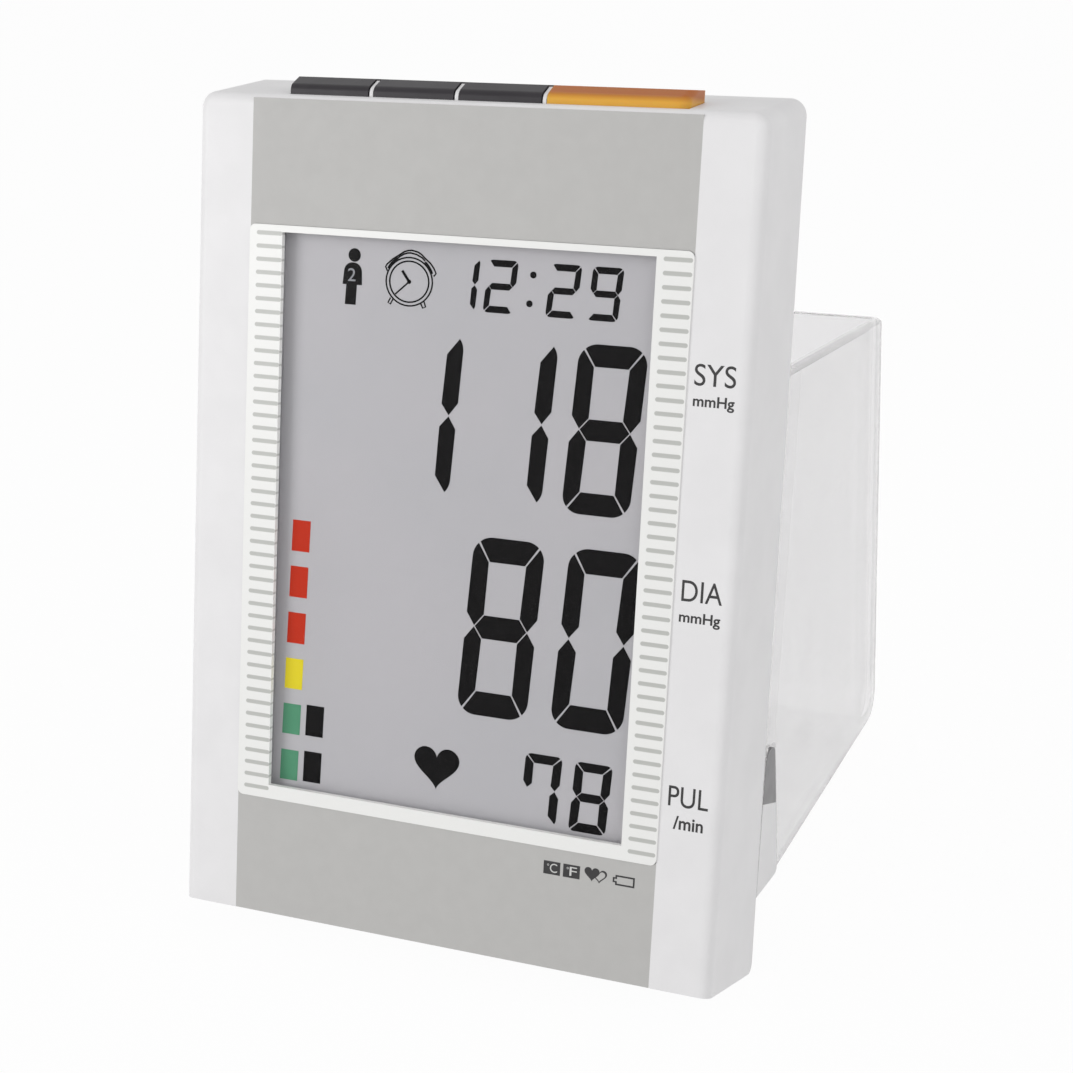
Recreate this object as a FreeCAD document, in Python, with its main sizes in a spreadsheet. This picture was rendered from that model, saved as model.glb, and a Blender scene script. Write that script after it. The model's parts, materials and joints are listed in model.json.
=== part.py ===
import FreeCAD, Part
import math
import os
import Sketcher
from FreeCAD import Placement, Rotation, Vector

# Upper-arm blood pressure monitor: a leaning display unit with a clear cuff bin behind it.
#
# Every piece is drawn in the display's own frame, in millimetres:
#   X  across, 0 at the middle, positive to the user's right
#   Y  depth, 0 at the front face, positive to the rear
#   Z  height along the front face, 0 at the lowest rear edge of the case
# The finished pieces are then leaned back and stood on their feet, see the last section.

doc = FreeCAD.newDocument("BloodPressureMonitor")

# ---------------------------------------------------------------- driving dimensions

sizes = {
    # case, front view
    "front_width": 111.2,
    "rear_width": 114.0,
    "taper_depth": 30.0,
    "bottom_margin": 2.8,
    "lower_inlay_height": 24.1,
    "frame_height": 113.0,
    "upper_inlay_height": 23.4,
    "front_rise": 0.65,
    "rear_rise": 5.4,
    "front_lift": 2.75,
    "rear_drop": 2.6,
    "rear_depth_top": 22.4,
    "rear_depth_bottom": 27.9,
    "case_wall": 2.2,
    "case_corner": 3.2,
    "front_edge": 2.2,
    "base_edge": 1.8,
    "lean_slope": 0.1405,
    # display
    "inlay_width": 87.8,
    "recess_depth": 0.8,
    "frame_proud": 0.3,
    "frame_corner": 1.2,
    "window_width": 74.0,
    "window_top_band": 1.3,
    "window_bottom_band": 2.8,
    "lens_overlap": 0.6,
    "lens_thickness": 1.2,
    "glass_gap": 0.5,
    "glass_thickness": 1.1,
    "glass_margin": 3.0,
    "glass_ledge": 4.0,
    "holder_wall": 1.6,
    "holder_floor": 1.2,
    "zebra_thickness": 2.4,
    "zebra_width": 72.0,
    # boards
    "board_depth": 8.6,
    "board_thickness": 1.6,
    "board_width": 101.0,
    "board_bottom": 26.0,
    "board_top_gap": 6.0,
    "post_x": 47.0,
    "post_inset": 8.0,
    "post_radius": 3.0,
    "board_screw_radius": 0.9,
    "board_screw_length": 4.5,
    "board_screw_head": 2.0,
    "board_screw_head_height": 1.4,
    "controller_drop": 10.0,
    "controller_side": 14.0,
    "controller_thickness": 1.4,
    "memory_x": 16.0,
    "memory_drop": 12.0,
    "memory_width": 5.0,
    "memory_height": 4.0,
    "memory_thickness": 1.5,
    "buzzer_x": -28.0,
    "buzzer_rise": 6.0,
    "buzzer_radius": 6.0,
    "buzzer_thickness": 5.0,
    "capacitor_x": 8.0,
    "capacitor_pitch": 8.0,
    "capacitor_rise": 18.0,
    "capacitor_radius": 2.5,
    "capacitor_length": 6.0,
    # keys
    "key_left": -37.1,
    "key_width": 16.0,
    "key_gap": 1.1,
    "start_width": 26.3,
    "key_front": 1.8,
    "key_back": 11.6,
    "key_bevel_depth": 3.3,
    "key_fold": 2.55,
    "key_crown": 4.3,
    "key_rear_crown": 4.6,
    "key_fold_radius": 1.5,
    "clearance": 0.2,
    "key_travel": 0.7,
    "key_skirt": 1.0,
    "key_flange_drop": 2.1,
    "rib_sunk": 0.3,
    "lip_depth": 1.6,
    "stem_width": 4.0,
    "start_end_radius": 2.4,
    "key_board_drop": 13.3,
    "key_board_thickness": 1.2,
    "key_board_depth": 10.8,
    "key_board_left": 3.0,
    "key_board_right": 1.0,
    "shelf_reach": 3.0,
    "shelf_height": 4.4,
    "switch_size": 6.0,
    "switch_height": 3.5,
    "switch_centre": 7.0,
    "plunger_radius": 1.7,
    "plunger_proud": 0.8,
    # rear housing
    "plate_gap": 0.35,
    "plate_thickness": 2.2,
    "lug_width": 9.0,
    "housing_depth": 52.0,
    "housing_bottom": 12.0,
    "housing_top_gap": 15.3,
    "housing_edge": 4.0,
    "boss_side_gap": 7.1,
    "boss_low": 8.0,
    "boss_top_gap": 9.3,
    "boss_radius": 3.8,
    "boss_split": 16.0,
    "screw_radius": 1.15,
    "screw_length": 10.0,
    "screw_head": 2.5,
    "screw_head_height": 2.0,
    "screw_floor": 1.0,
    # batteries
    "cell_radius": 7.1,
    "cell_length": 49.2,
    "cell_tip_radius": 2.6,
    "cell_tip_length": 1.3,
    "cell_edge": 0.6,
    "cell_pitch": 14.8,
    "spring_length": 4.5,
    "spring_radius": 3.4,
    "spring_wire": 0.4,
    "spring_turns": 3,
    "contact_thickness": 0.4,
    "contact_width": 11.0,
    "well_bottom": 24.0,
    "well_play": 0.4,
    "well_wall": 1.6,
    "door_overlap": 3.0,
    "door_thickness": 2.4,
    "door_clearance": 0.3,
    "door_lift": 0.1,
    "peg_radius": 0.75,
    "peg_length": 1.4,
    "grip_width": 16.0,
    "grip_height": 4.0,
    "grip_inset": 4.0,
    "grip_depth": 1.0,
    # pump
    "pump_drop": 25.0,
    "pump_depth": 33.0,
    "can_radius": 12.0,
    "can_wall": 1.0,
    "can_side_gap": 3.8,
    "shaft_radius": 1.0,
    "running_play": 0.05,
    "rotor_radius": 8.6,
    "magnet_thickness": 1.7,
    "magnet_left": 4.0,
    "magnet_right": 6.0,
    "head_length": 22.0,
    "head_size": 26.0,
    "head_wall": 3.7,
    "head_room": 13.2,
    "cam_radius": 3.5,
    "cam_offset": 1.2,
    "cam_start": 7.3,
    "cam_length": 5.5,
    "pad_inset": 6.4,
    "pad_height": 19.2,
    # air path
    "nozzle_radius": 1.55,
    "nozzle_bore": 0.8,
    "hose_bore": 1.6,
    "hose_radius": 3.0,
    "socket_height": 64.0,
    "socket_depth": 16.0,
    "socket_radius": 5.0,
    "socket_bore": 2.2,
    "socket_bore_depth": 8.4,
    "socket_rim": 2.0,
    "socket_rim_thickness": 2.0,
    "socket_end_wall": 1.1,
    "socket_neck_radius": 3.2,
    "socket_barb": 6.0,
    "jack_height": 42.0,
    "jack_half": 4.5,
    "jack_length": 14.0,
    "jack_nose_radius": 4.0,
    "jack_bore": 2.85,
    "jack_bore_depth": 10.0,
    "jack_pin": 1.0,
    "side_play": 0.05,
    "valve_pin": 2.0,
    "valve_pin_proud": 1.5,
    "valve_side_gap": 6.3,
    "valve_drop": 27.0,
    "valve_size": 9.0,
    "valve_tall": 16.0,
    "valve_back": 25.0,
    "sensor_inset": 3.0,
    "sensor_drop": 23.0,
    "sensor_size": 10.0,
    "sensor_back": 19.2,
    "manifold_length": 19.8,
    "manifold_drop": 12.0,
    "manifold_height": 10.0,
    "manifold_wall": 1.5,
    "manifold_front": 13.0,
    "manifold_back": 36.0,
    "link_depth": 33.0,
    "link_run": 10.0,
    "link_stub": 4.0,
    "tube_radius": 2.6,
    "hose_inset": 6.0,
    "hose_depth": 29.0,
    "hose_bend": 14.0,
    "hose_drop": 7.0,
    "hose_cross": 10.0,
    "valve_depth": 18.0,
    "sensor_depth": 15.6,
    # bin
    "bin_width": 110.0,
    "bin_wall": 2.0,
    "bin_front": 30.0,
    "bin_top_rear": 123.2,
    "bin_bottom_rear": 157.8,
    "bin_top_front_height": 117.5,
    "bin_top_rear_height": 122.8,
    "bin_bottom_rear_height": 18.5,
    "bin_bottom_front_height": 7.6,
    "bin_bend": 8.0,
    "bin_corner": 3.0,
    "bin_rim_radius": 1.2,
    "bin_front_corner": 12.0,
    "bin_floor_gap": 3.8,
    "slot_front": 35.5,
    "slot_top_width": 7.0,
    "slot_mouth_width": 19.0,
    "slot_top": 41.8,
    "slot_corner": 2.8,
    "lug_clearance": 0.35,
    "lug_top": 30.0,
    "lug_top_drop": 2.8,
    "lug_bottom": 10.4,
    "lug_corner": 2.0,
    "stop_top": 40.6,
    "stop_corner": 2.6,
    "bin_foot_x": 22.0,
    # feet
    "foot_proud": 2.4,
    "foot_width": 12.0,
    "foot_x": 40.0,
    "foot_front": 16.5,
    "foot_back": 27.5,
    "bin_foot_front": 130.0,
    "bin_foot_length": 12.0,
}

sheet = doc.addObject("Spreadsheet::Sheet", "Sizes")
for row, (alias, value) in enumerate(sizes.items(), start=1):
    sheet.set(f"A{row}", alias)
    sheet.set(f"B{row}", str(value))
    sheet.setAlias(f"B{row}", alias)
doc.recompute()


class Length:
    """A length that knows both its value and the sheet expression that gives it."""

    def __init__(self, number, formula):
        self.number = number
        self.formula = formula

    def __add__(self, other):
        other = length(other)
        return Length(self.number + other.number, f"({self.formula} + {other.formula})")

    def __sub__(self, other):
        other = length(other)
        return Length(self.number - other.number, f"({self.formula} - {other.formula})")

    def __mul__(self, other):
        other = length(other)
        return Length(self.number * other.number, f"({self.formula} * {other.formula})")

    def __truediv__(self, other):
        other = length(other)
        return Length(self.number / other.number, f"({self.formula} / {other.formula})")

    def __radd__(self, other):
        return length(other) + self

    def __rsub__(self, other):
        return length(other) - self

    def __rmul__(self, other):
        return length(other) * self

    def __neg__(self):
        return Length(-self.number, f"(0 - {self.formula})")

    def least(self, other):
        number = min(self.number, other.number)
        return Length(number, f"min({self.formula}; {other.formula})")

    def root(self):
        return Length(math.sqrt(self.number), f"sqrt({self.formula})")


def length(value):
    if isinstance(value, Length):
        return value
    if value < 0:
        return Length(float(value), f"(0 - {-float(value)})")
    return Length(float(value), repr(float(value)))


class Sizes:
    """The sheet's cells as lengths, one attribute for each alias."""

    def __getattr__(self, alias):
        return Length(sizes[alias], "Sizes." + alias)


s = Sizes()


def bind(item, path, value):
    item.setExpression(path, length(value).formula)


# ---------------------------------------------------------------- building helpers

nodes = {}
touching = 0.01  # places closer than this are the same place
straight = 0.999  # least share of an edge's length that its ends lie apart, for it to be straight
axis_turn = {
    "X": Rotation(Vector(0, 1, 0), 90),
    "Y": Rotation(Vector(1, 0, 0), -90),
    "Z": Rotation(),
}


def keep(name, item):
    """Makes an object one of the model's named pieces."""
    item.Label = name
    nodes[name] = item
    return item


def place(item, x, y, z, turn=None):
    item.Placement = Placement(Vector(), turn or Rotation())
    for axis, value in zip("xyz", (x, y, z)):
        bind(item, f"Placement.Base.{axis}", value)


def box(name, x, y, z):
    """A block between (low, high) pairs along X, Y and Z."""
    item = doc.addObject("Part::Box", name)
    for side, (low, high) in zip(("Length", "Width", "Height"), (x, y, z)):
        bind(item, side, high - length(low))
    place(item, x[0], y[0], z[0])
    return item


def rod(name, axis, start, long, radius):
    """A cylinder from its start point along +axis."""
    item = doc.addObject("Part::Cylinder", name)
    bind(item, "Radius", radius)
    bind(item, "Height", long)
    place(item, *start, axis_turn[axis])
    return item


def fuse(name, *parts):
    item = doc.addObject("Part::MultiFuse", name)
    item.Shapes = list(parts)
    return item


def cut(name, base, *tools):
    item = doc.addObject("Part::Cut", name)
    item.Base = base
    item.Tool = tools[0] if len(tools) == 1 else fuse(name + "_tools", *tools)
    return item


def group(name, parts):
    """Separate solids that make up one node."""
    item = doc.addObject("Part::Compound", name)
    item.Links = list(parts)
    return item


def edge_runs(edge, axis):
    """True for a straight edge along the axis."""
    run = edge.Vertexes[-1].Point - edge.Vertexes[0].Point
    along = abs(getattr(run, axis))
    return run.Length > 0 and along > straight * edge.Length


def rounded(name, base, radius, axis):
    """The base with its straight edges along one axis rounded."""
    doc.recompute()
    item = doc.addObject("Part::Fillet", name)
    item.Base = base
    item.Edges = [
        (index, radius.number, radius.number)
        for index, edge in enumerate(base.Shape.Edges, start=1)
        if edge_runs(edge, axis)
    ]
    return item


def new_body(name):
    return keep(name, doc.addObject("PartDesign::Body", name))


def sketch(body, name, plane, offset=0):
    """An empty sketch on the XY, XZ or YZ plane; the XZ plane looks to the front, so its offset is -Y."""
    item = body.newObject("Sketcher::SketchObject", name)
    origin = next(f for f in body.Origin.OriginFeatures if f.Role == plane + "_Plane")
    item.AttachmentSupport = (origin, [""])
    item.MapMode = "FlatFace"
    bind(item, "AttachmentOffset.Base.z", -length(offset) if plane == "XZ" else offset)
    return item


def measure(item, kind, element, point, value):
    value = length(value)
    index = item.addConstraint(
        Sketcher.Constraint(kind, -1, 1, element, point, value.number)
    )
    item.setExpression(f"Constraints[{index}]", value.formula)


def polygon(item, corners):
    """A closed outline whose corners are all measured from the sketch's origin."""
    corners = [(length(across), length(up)) for across, up in corners]
    points = [Vector(across.number, up.number, 0) for across, up in corners]
    first = item.GeometryCount
    count = len(corners)
    for index in range(count):
        side = Part.LineSegment(points[index], points[(index + 1) % count])
        item.addGeometry(side, False)
    for index in range(count):
        joint = (first + index, 2, first + (index + 1) % count, 1)
        item.addConstraint(Sketcher.Constraint("Coincident", *joint))
    for index, (across, up) in enumerate(corners):
        measure(item, "DistanceX", first + index, 1, across)
        measure(item, "DistanceY", first + index, 1, up)
    return item


def rectangle(item, across, up):
    left, right = across
    low, high = up
    return polygon(item, [(left, low), (right, low), (right, high), (left, high)])


def circle(item, across, up, radius):
    across, up, radius = length(across), length(up), length(radius)
    centre = Vector(across.number, up.number, 0)
    index = item.addGeometry(Part.Circle(centre, Vector(0, 0, 1), radius.number), False)
    measure(item, "DistanceX", index, 3, across)
    measure(item, "DistanceY", index, 3, up)
    turn = item.addConstraint(Sketcher.Constraint("Radius", index, radius.number))
    item.setExpression(f"Constraints[{turn}]", radius.formula)
    return item


def rounding(item, across, up, radius):
    """What a rounded lower left corner leaves over, for an arc centred at (across, up)."""
    across, up, radius = length(across), length(up), length(radius)
    left, low = across - radius, up - radius
    corners = [
        (left, up),
        (left - beyond, up),
        (left - beyond, low - beyond),
        (across, low - beyond),
        (across, low),
    ]
    points = [Vector(a.number, b.number, 0) for a, b in corners]
    for start, end in zip(points, points[1:]):
        item.addGeometry(Part.LineSegment(start, end), False)
    centre = Vector(across.number, up.number, 0)
    whole = Part.Circle(centre, Vector(0, 0, 1), radius.number)
    arc = item.addGeometry(Part.ArcOfCircle(whole, math.pi, math.pi * 1.5), False)
    last = arc - 1
    for joint in ((0, 2, 1, 1), (1, 2, 2, 1), (2, 2, last, 1), (last, 2, arc, 2), (arc, 1, 0, 1)):
        item.addConstraint(Sketcher.Constraint("Coincident", *joint))
    for line, (a, b) in zip(range(1, 4), corners[1:]):
        measure(item, "DistanceX", line, 1, a)
        measure(item, "DistanceY", line, 1, b)
    measure(item, "DistanceX", last, 2, across)
    measure(item, "DistanceY", last, 2, low)
    measure(item, "DistanceX", arc, 3, across)
    measure(item, "DistanceY", arc, 3, up)
    measure(item, "DistanceY", 0, 1, up)
    return item


def grow(body, kind, profile, long, flip=False, both=False):
    item = body.newObject("PartDesign::" + kind, profile.Name + "_" + kind.lower())
    item.Profile = profile
    item.Reversed = flip
    if both:
        item.SideType = "Symmetric"
    bind(item, "Length", long)
    return item


def pad(body, profile, long, flip=False, both=False):
    """Adds material; from an XZ sketch it runs to the rear unless flipped."""
    rearward = profile.AttachmentSupport[0][0].Role == "XZ_Plane"
    return grow(body, "Pad", profile, long, flip != rearward, both)


def pocket(body, profile, long, flip=False, both=False):
    """Cuts away from the profile: to the rear from XZ, down from XY, to the left from YZ."""
    before = body.Tip
    doc.recompute()
    volume = before.Shape.Volume
    item = grow(body, "Pocket", profile, long, flip, both)
    doc.recompute()
    if item.Shape.Volume > volume - touching:
        raise ValueError(f"{item.Name} cuts nothing")
    return item


def round_edges(body, name, radius, test):
    doc.recompute()
    base = body.Tip
    chosen = [f"Edge{n}" for n, edge in enumerate(base.Shape.Edges, start=1) if test(edge)]
    item = body.newObject("PartDesign::Fillet", name)
    item.Base = (base, chosen)
    bind(item, "Radius", radius)
    return item


def on_line(start, end, height):
    """The depth at a height on the line through two (depth, height) points."""
    share = (length(height) - start[1]) / (length(end[1]) - start[1])
    return start[0] + (end[0] - start[0]) * share


# ---------------------------------------------------------------- places shared by the pieces

front_half = s.front_width / 2
rear_half = s.rear_width / 2
inlay_half = s.inlay_width / 2
inlay_bottom = s.bottom_margin
frame_bottom = inlay_bottom + s.lower_inlay_height
frame_top = frame_bottom + s.frame_height
inlay_top = frame_top + s.upper_inlay_height
front_top = inlay_top + s.front_rise
taper_top = inlay_top + s.rear_rise
window_half = s.window_width / 2
window_bottom = frame_bottom + s.window_bottom_band
window_top = frame_top - s.window_top_band
beyond = 1.0  # how far a cutting profile stands clear of the surface it starts from

rear_line_top = (s.rear_depth_top, taper_top + beyond)
rear_line_bottom = (s.rear_depth_bottom, -s.rear_drop - beyond)


def rear_depth(height):
    """Depth of the case's sloping rear plane."""
    return on_line(rear_line_bottom, rear_line_top, height)


def case_half(depth):
    """Half the case's width at a depth."""
    return front_half + (rear_half - front_half) * depth / s.taper_depth


key_lefts = [s.key_left + (s.key_width + s.key_gap) * n for n in range(4)]
key_rights = [left + s.key_width for left in key_lefts[:3]] + [key_lefts[3] + s.start_width]
key_names = ["memory", "user", "set", "start"]
key_middles = [(left + right) / 2 for left, right in zip(key_lefts, key_rights)]
key_floor = inlay_top - s.key_flange_drop
key_board_low = inlay_top - s.key_board_drop
key_board_high = key_board_low + s.key_board_thickness
switch_top = key_board_high + s.switch_height
plunger_top = switch_top + s.plunger_proud

board_back = s.board_depth + s.board_thickness
board_half = s.board_width / 2
board_top = key_board_low - s.board_top_gap
post_places = [
    (side * s.post_x, height)
    for side in (-1, 1)
    for height in (s.board_bottom + s.post_inset, board_top - s.post_inset)
]
boss_places = [
    (side * (front_half.least(rear_half) - s.boss_side_gap), height)
    for side in (-1, 1)
    for height in (s.boss_low, front_top - s.boss_top_gap)
]

bin_half = s.bin_width / 2
housing_half = bin_half - s.lug_width
housing_top = front_top - s.housing_top_gap
housing_inside = s.housing_depth - s.case_wall
wall_inside = housing_half - s.case_wall
jack_depth = board_back + s.jack_half

# the pump and what it feeds lie in a row across the top of the housing
pump_height = housing_top - s.pump_drop
manifold_high = housing_top - s.manifold_drop
manifold_low = manifold_high - s.manifold_height
manifold_left = wall_inside - s.manifold_length
link_height = manifold_low + s.manifold_height / 2
head_right = manifold_left - s.link_run
can_left = s.can_side_gap - wall_inside
can_right = head_right - s.head_length
valve_x = wall_inside - s.valve_side_gap
valve_low = manifold_low - s.valve_drop
valve_high = valve_low + s.valve_tall
sensor_x = manifold_left + s.sensor_inset
sensor_low = manifold_low - s.sensor_drop
sensor_high = sensor_low + s.sensor_size
hose_x = manifold_left + s.hose_inset
screw_seat = s.boss_split + s.screw_head_height + s.screw_floor

# ---------------------------------------------------------------- front cover


def case_low(depth):
    """Height of the case's underside at a depth."""
    return s.front_lift - (s.front_lift + s.rear_drop) * depth / s.taper_depth


def case_high(depth):
    """Height of the case's top at a depth."""
    return front_top + (taper_top - front_top) * depth / s.taper_depth


def inner_outline(body, name, depth):
    """The case's outline at a depth, drawn in by the wall."""
    half = case_half(depth) - s.case_wall
    return rectangle(
        sketch(body, name, "XZ", depth),
        (-half, half),
        (case_low(depth) + s.case_wall, case_high(depth) - s.case_wall),
    )


def make_front_cover():
    body = new_body("front_cover")
    front = rectangle(
        sketch(body, "cover_front", "XZ"), (-front_half, front_half), (s.front_lift, front_top)
    )
    rear = rectangle(
        sketch(body, "cover_rear", "XZ", s.taper_depth),
        (-rear_half, rear_half),
        (-s.rear_drop, taper_top),
    )
    block = body.newObject("PartDesign::AdditiveLoft", "cover_block")
    block.Profile = front
    block.Sections = [rear]
    block.Ruled = True

    behind = polygon(
        sketch(body, "cover_slope", "YZ"),
        [
            rear_line_bottom,
            (s.taper_depth + beyond, rear_line_bottom[1]),
            (s.taper_depth + beyond, rear_line_top[1]),
            rear_line_top,
        ],
    )
    pocket(body, behind, s.front_width + s.rear_width, both=True)

    top = inlay_top.number
    width = front_half.number

    def top_corner(edge):
        middle = edge.BoundBox.Center
        return edge_rises(edge) and middle.z > top

    def edge_rises(edge):
        box_of = edge.BoundBox
        return box_of.YLength > box_of.XLength and box_of.YLength > box_of.ZLength

    round_edges(body, "cover_top_corners", s.case_corner, top_corner)
    round_edges(
        body,
        "cover_front_edge",
        s.front_edge,
        lambda edge: edge.BoundBox.YMax < touching and edge.BoundBox.ZMax > width,
    )
    round_edges(
        body,
        "cover_base_edge",
        s.base_edge,
        lambda edge: edge.BoundBox.XLength > width and edge.BoundBox.ZMax < 0,
    )
    room = body.newObject("PartDesign::SubtractiveLoft", "cover_room")
    room.Profile = inner_outline(body, "room_front", s.case_wall)
    room.Sections = [inner_outline(body, "room_rear", s.taper_depth + beyond)]
    room.Ruled = True

    recess = rectangle(
        sketch(body, "inlay_recess", "XZ", -beyond),
        (-inlay_half, inlay_half),
        (-beyond, inlay_top),
    )
    pocket(body, recess, s.recess_depth + beyond)
    lens_half = window_half + s.lens_overlap + s.plate_gap / 2
    opening = rectangle(
        sketch(body, "display_opening", "XZ"),
        (-lens_half, lens_half),
        (
            window_bottom - s.lens_overlap - s.plate_gap / 2,
            window_top + s.lens_overlap + s.plate_gap / 2,
        ),
    )
    pocket(body, opening, s.case_wall + beyond)

    add_key_windows(body)

    inside = s.case_wall - s.recess_depth / 2
    bosses = sketch(body, "case_bosses", "XZ", inside)
    for x, z in boss_places:
        circle(bosses, x, z, s.boss_radius)
    pad(body, bosses, s.boss_split - inside)
    boss_holes = sketch(body, "case_boss_holes", "XZ", s.boss_split)
    for x, z in boss_places:
        circle(boss_holes, x, z, s.screw_radius + s.running_play)
    pocket(body, boss_holes, s.screw_length, flip=True)

    posts = sketch(body, "board_posts", "XZ", inside)
    for x, z in post_places:
        circle(posts, x, z, s.post_radius)
    pad(body, posts, s.board_depth - inside)
    post_holes = sketch(body, "board_post_holes", "XZ", s.board_depth)
    for x, z in post_places:
        circle(post_holes, x, z, s.board_screw_radius + s.running_play)
    pocket(body, post_holes, s.board_screw_length + s.plate_gap, flip=True)

    shelves = sketch(body, "key_board_shelves", "XZ", inside)
    for edge in (key_lefts[0], key_rights[3]):
        across = (edge - s.shelf_reach, edge + s.shelf_reach)
        rectangle(shelves, across, (key_board_low - s.shelf_height, key_board_low))
    pad(body, shelves, s.key_board_depth - inside)

    sockets = sketch(body, "side_holes", "YZ", -s.post_x)
    circle(sockets, s.socket_depth, s.socket_height, s.socket_radius + s.side_play)
    circle(sockets, jack_depth, s.jack_height, s.jack_nose_radius + s.side_play)
    pocket(body, sockets, rear_half - s.post_x + beyond)


def add_key_windows(body):
    """The slot for the keys and the three ribs that part it."""
    slot_back = s.key_back + s.clearance
    slot = rectangle(
        sketch(body, "key_slot", "XY", taper_top + beyond),
        (key_lefts[0] - s.clearance, key_rights[3] + s.clearance),
        (s.lip_depth, slot_back),
    )
    pocket(body, slot, taper_top + beyond - key_floor)
    for number in range(3):
        left = key_rights[number] + s.clearance
        right = key_lefts[number + 1] - s.clearance
        rib = polygon(
            sketch(body, f"key_rib{number + 1}", "YZ", left),
            [
                (s.lip_depth - s.clearance, key_floor + s.clearance),
                (slot_back + s.clearance * 2, key_floor + s.clearance),
                (slot_back + s.clearance * 2, inlay_top + s.key_rear_crown - s.rib_sunk * 2),
                (slot_back - s.clearance * 2, inlay_top + s.key_rear_crown - s.rib_sunk),
                (s.key_front + s.key_bevel_depth, inlay_top + s.key_crown - s.rib_sunk),
                (s.key_front + s.clearance, inlay_top + s.key_fold - s.clearance),
                (s.key_front + s.clearance, front_top),
                (s.lip_depth - s.clearance, front_top),
            ],
        )
        pad(body, rib, right - left)
    front = (s.key_front + s.clearance).number
    fold = (inlay_top + s.key_fold - s.clearance).number
    round_edges(
        body,
        "key_rib_folds",
        s.key_fold_radius,
        lambda edge: edge_runs(edge, "x")
        and abs(edge.BoundBox.YMax - front) < touching
        and abs(edge.BoundBox.ZMax - fold) < touching,
    )


# ---------------------------------------------------------------- rear cover


def lug_profile(item, low, high, low_drop=0, high_drop=0, corner=0):
    """The outline of what the bin's slot drops over, its ends lower at the rear by their drops.

    The lower rear corner can be cut away in two steps.
    """
    mouth_back = s.slot_front + s.slot_mouth_width
    top_back = s.slot_front + s.slot_top_width
    slot_mouth = (mouth_back, s.bin_bottom_front_height)
    slot_shoulder = (top_back, s.slot_top)
    front = s.slot_front + s.lug_clearance

    def back(height):
        return on_line(slot_mouth, slot_shoulder, height) - s.lug_clearance

    rear_low, rear_high = low - low_drop, high - high_drop
    outline = [(front, low), (back(rear_low), rear_low), (back(rear_high), rear_high), (front, high)]
    if corner:
        step = corner * (1 - math.sqrt(0.5))
        outline[1:2] = [
            (back(low) - corner, low),
            (back(low) - step, low + step),
            (back(low + corner), low + corner),
        ]
    return polygon(item, outline)


def make_rear_cover():
    body = new_body("rear_cover")
    plate_half = case_half(s.rear_depth_top) - s.case_wall - s.plate_gap
    plate_front = s.rear_depth_bottom - s.plate_thickness
    plate_bottom = case_low(plate_front) + s.case_wall + s.plate_gap * 2
    plate_top = front_top + (taper_top - front_top) * s.rear_depth_top / s.taper_depth
    plate_top = plate_top - s.case_wall - s.plate_gap * 2
    plate = polygon(
        sketch(body, "plate_side", "YZ"),
        [
            (rear_depth(plate_bottom) - s.plate_thickness, plate_bottom),
            (rear_depth(plate_bottom), plate_bottom),
            (rear_depth(plate_top), plate_top),
            (rear_depth(plate_top) - s.plate_thickness, plate_top),
        ],
    )
    pad(body, plate, plate_half * 2, both=True)

    skirt = rear_depth(housing_top) - s.plate_thickness / 2
    shell = rectangle(
        sketch(body, "housing", "XZ", skirt),
        (-housing_half, housing_half),
        (s.housing_bottom, housing_top),
    )
    pad(body, shell, s.housing_depth - skirt)
    back = s.housing_depth.number
    behind_case = back - s.rear_depth_bottom.number
    round_edges(
        body, "housing_edges", s.housing_edge, lambda edge: edge.BoundBox.YMin > back - touching
    )
    round_edges(
        body,
        "housing_corners",
        s.housing_edge / 2,
        lambda edge: edge_runs(edge, "y") and edge.BoundBox.YLength > behind_case / 2,
    )

    for side, name in ((1, "right"), (-1, "left")):
        inner = side * (housing_half - s.case_wall / 2)
        lug = lug_profile(
            sketch(body, f"{name}_lug", "YZ", inner),
            s.lug_bottom,
            s.lug_top,
            high_drop=s.lug_top_drop,
            corner=s.lug_corner,
        )
        pad(body, lug, s.lug_width + s.case_wall / 2, flip=side < 0)

    bosses = sketch(body, "rear_bosses", "XZ", s.boss_split + s.plate_gap / 2)
    for x, z in boss_places:
        circle(bosses, x, z, s.boss_radius)
    pad(body, bosses, s.rear_depth_top - s.boss_split - s.plate_thickness / 2)
    low_bosses = sketch(body, "low_rear_bosses", "XZ", s.rear_depth_top - s.plate_thickness)
    for x, z in boss_places:
        if z.number < s.housing_bottom.number:
            circle(low_bosses, x, z, s.boss_radius)
    pad(body, low_bosses, s.rear_depth_bottom - s.rear_depth_top + s.plate_thickness / 2)

    chambers(body)

    holes = sketch(body, "screw_holes", "XZ", s.boss_split)
    for x, z in boss_places:
        circle(holes, x, z, s.screw_radius + s.clearance)
    pocket(body, holes, s.rear_depth_bottom - s.boss_split)
    wells = sketch(body, "screw_wells", "XZ", screw_seat)
    for x, z in boss_places:
        circle(wells, x, z, s.screw_head + s.clearance)
    pocket(body, wells, s.rear_depth_bottom - screw_seat)


cell_count = 4
well_half = s.cell_pitch * cell_count / 2 + s.well_play
well_top = s.well_bottom + s.spring_length + s.cell_length + s.cell_tip_length
well_top = well_top + s.contact_thickness * 2
door_seat = s.housing_depth - s.door_thickness
cell_depth = door_seat - s.well_play - s.cell_radius
well_floor = cell_depth - s.cell_radius - s.well_play
door_half = well_half + s.door_overlap
door_bottom = s.well_bottom - s.door_overlap
door_top = well_top + s.door_overlap
door_front = door_seat + s.door_lift
door_round = (s.housing_depth - door_front) / 2
peg_height = door_bottom + s.door_clearance + door_round
peg_depth = s.housing_depth - door_round


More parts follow.
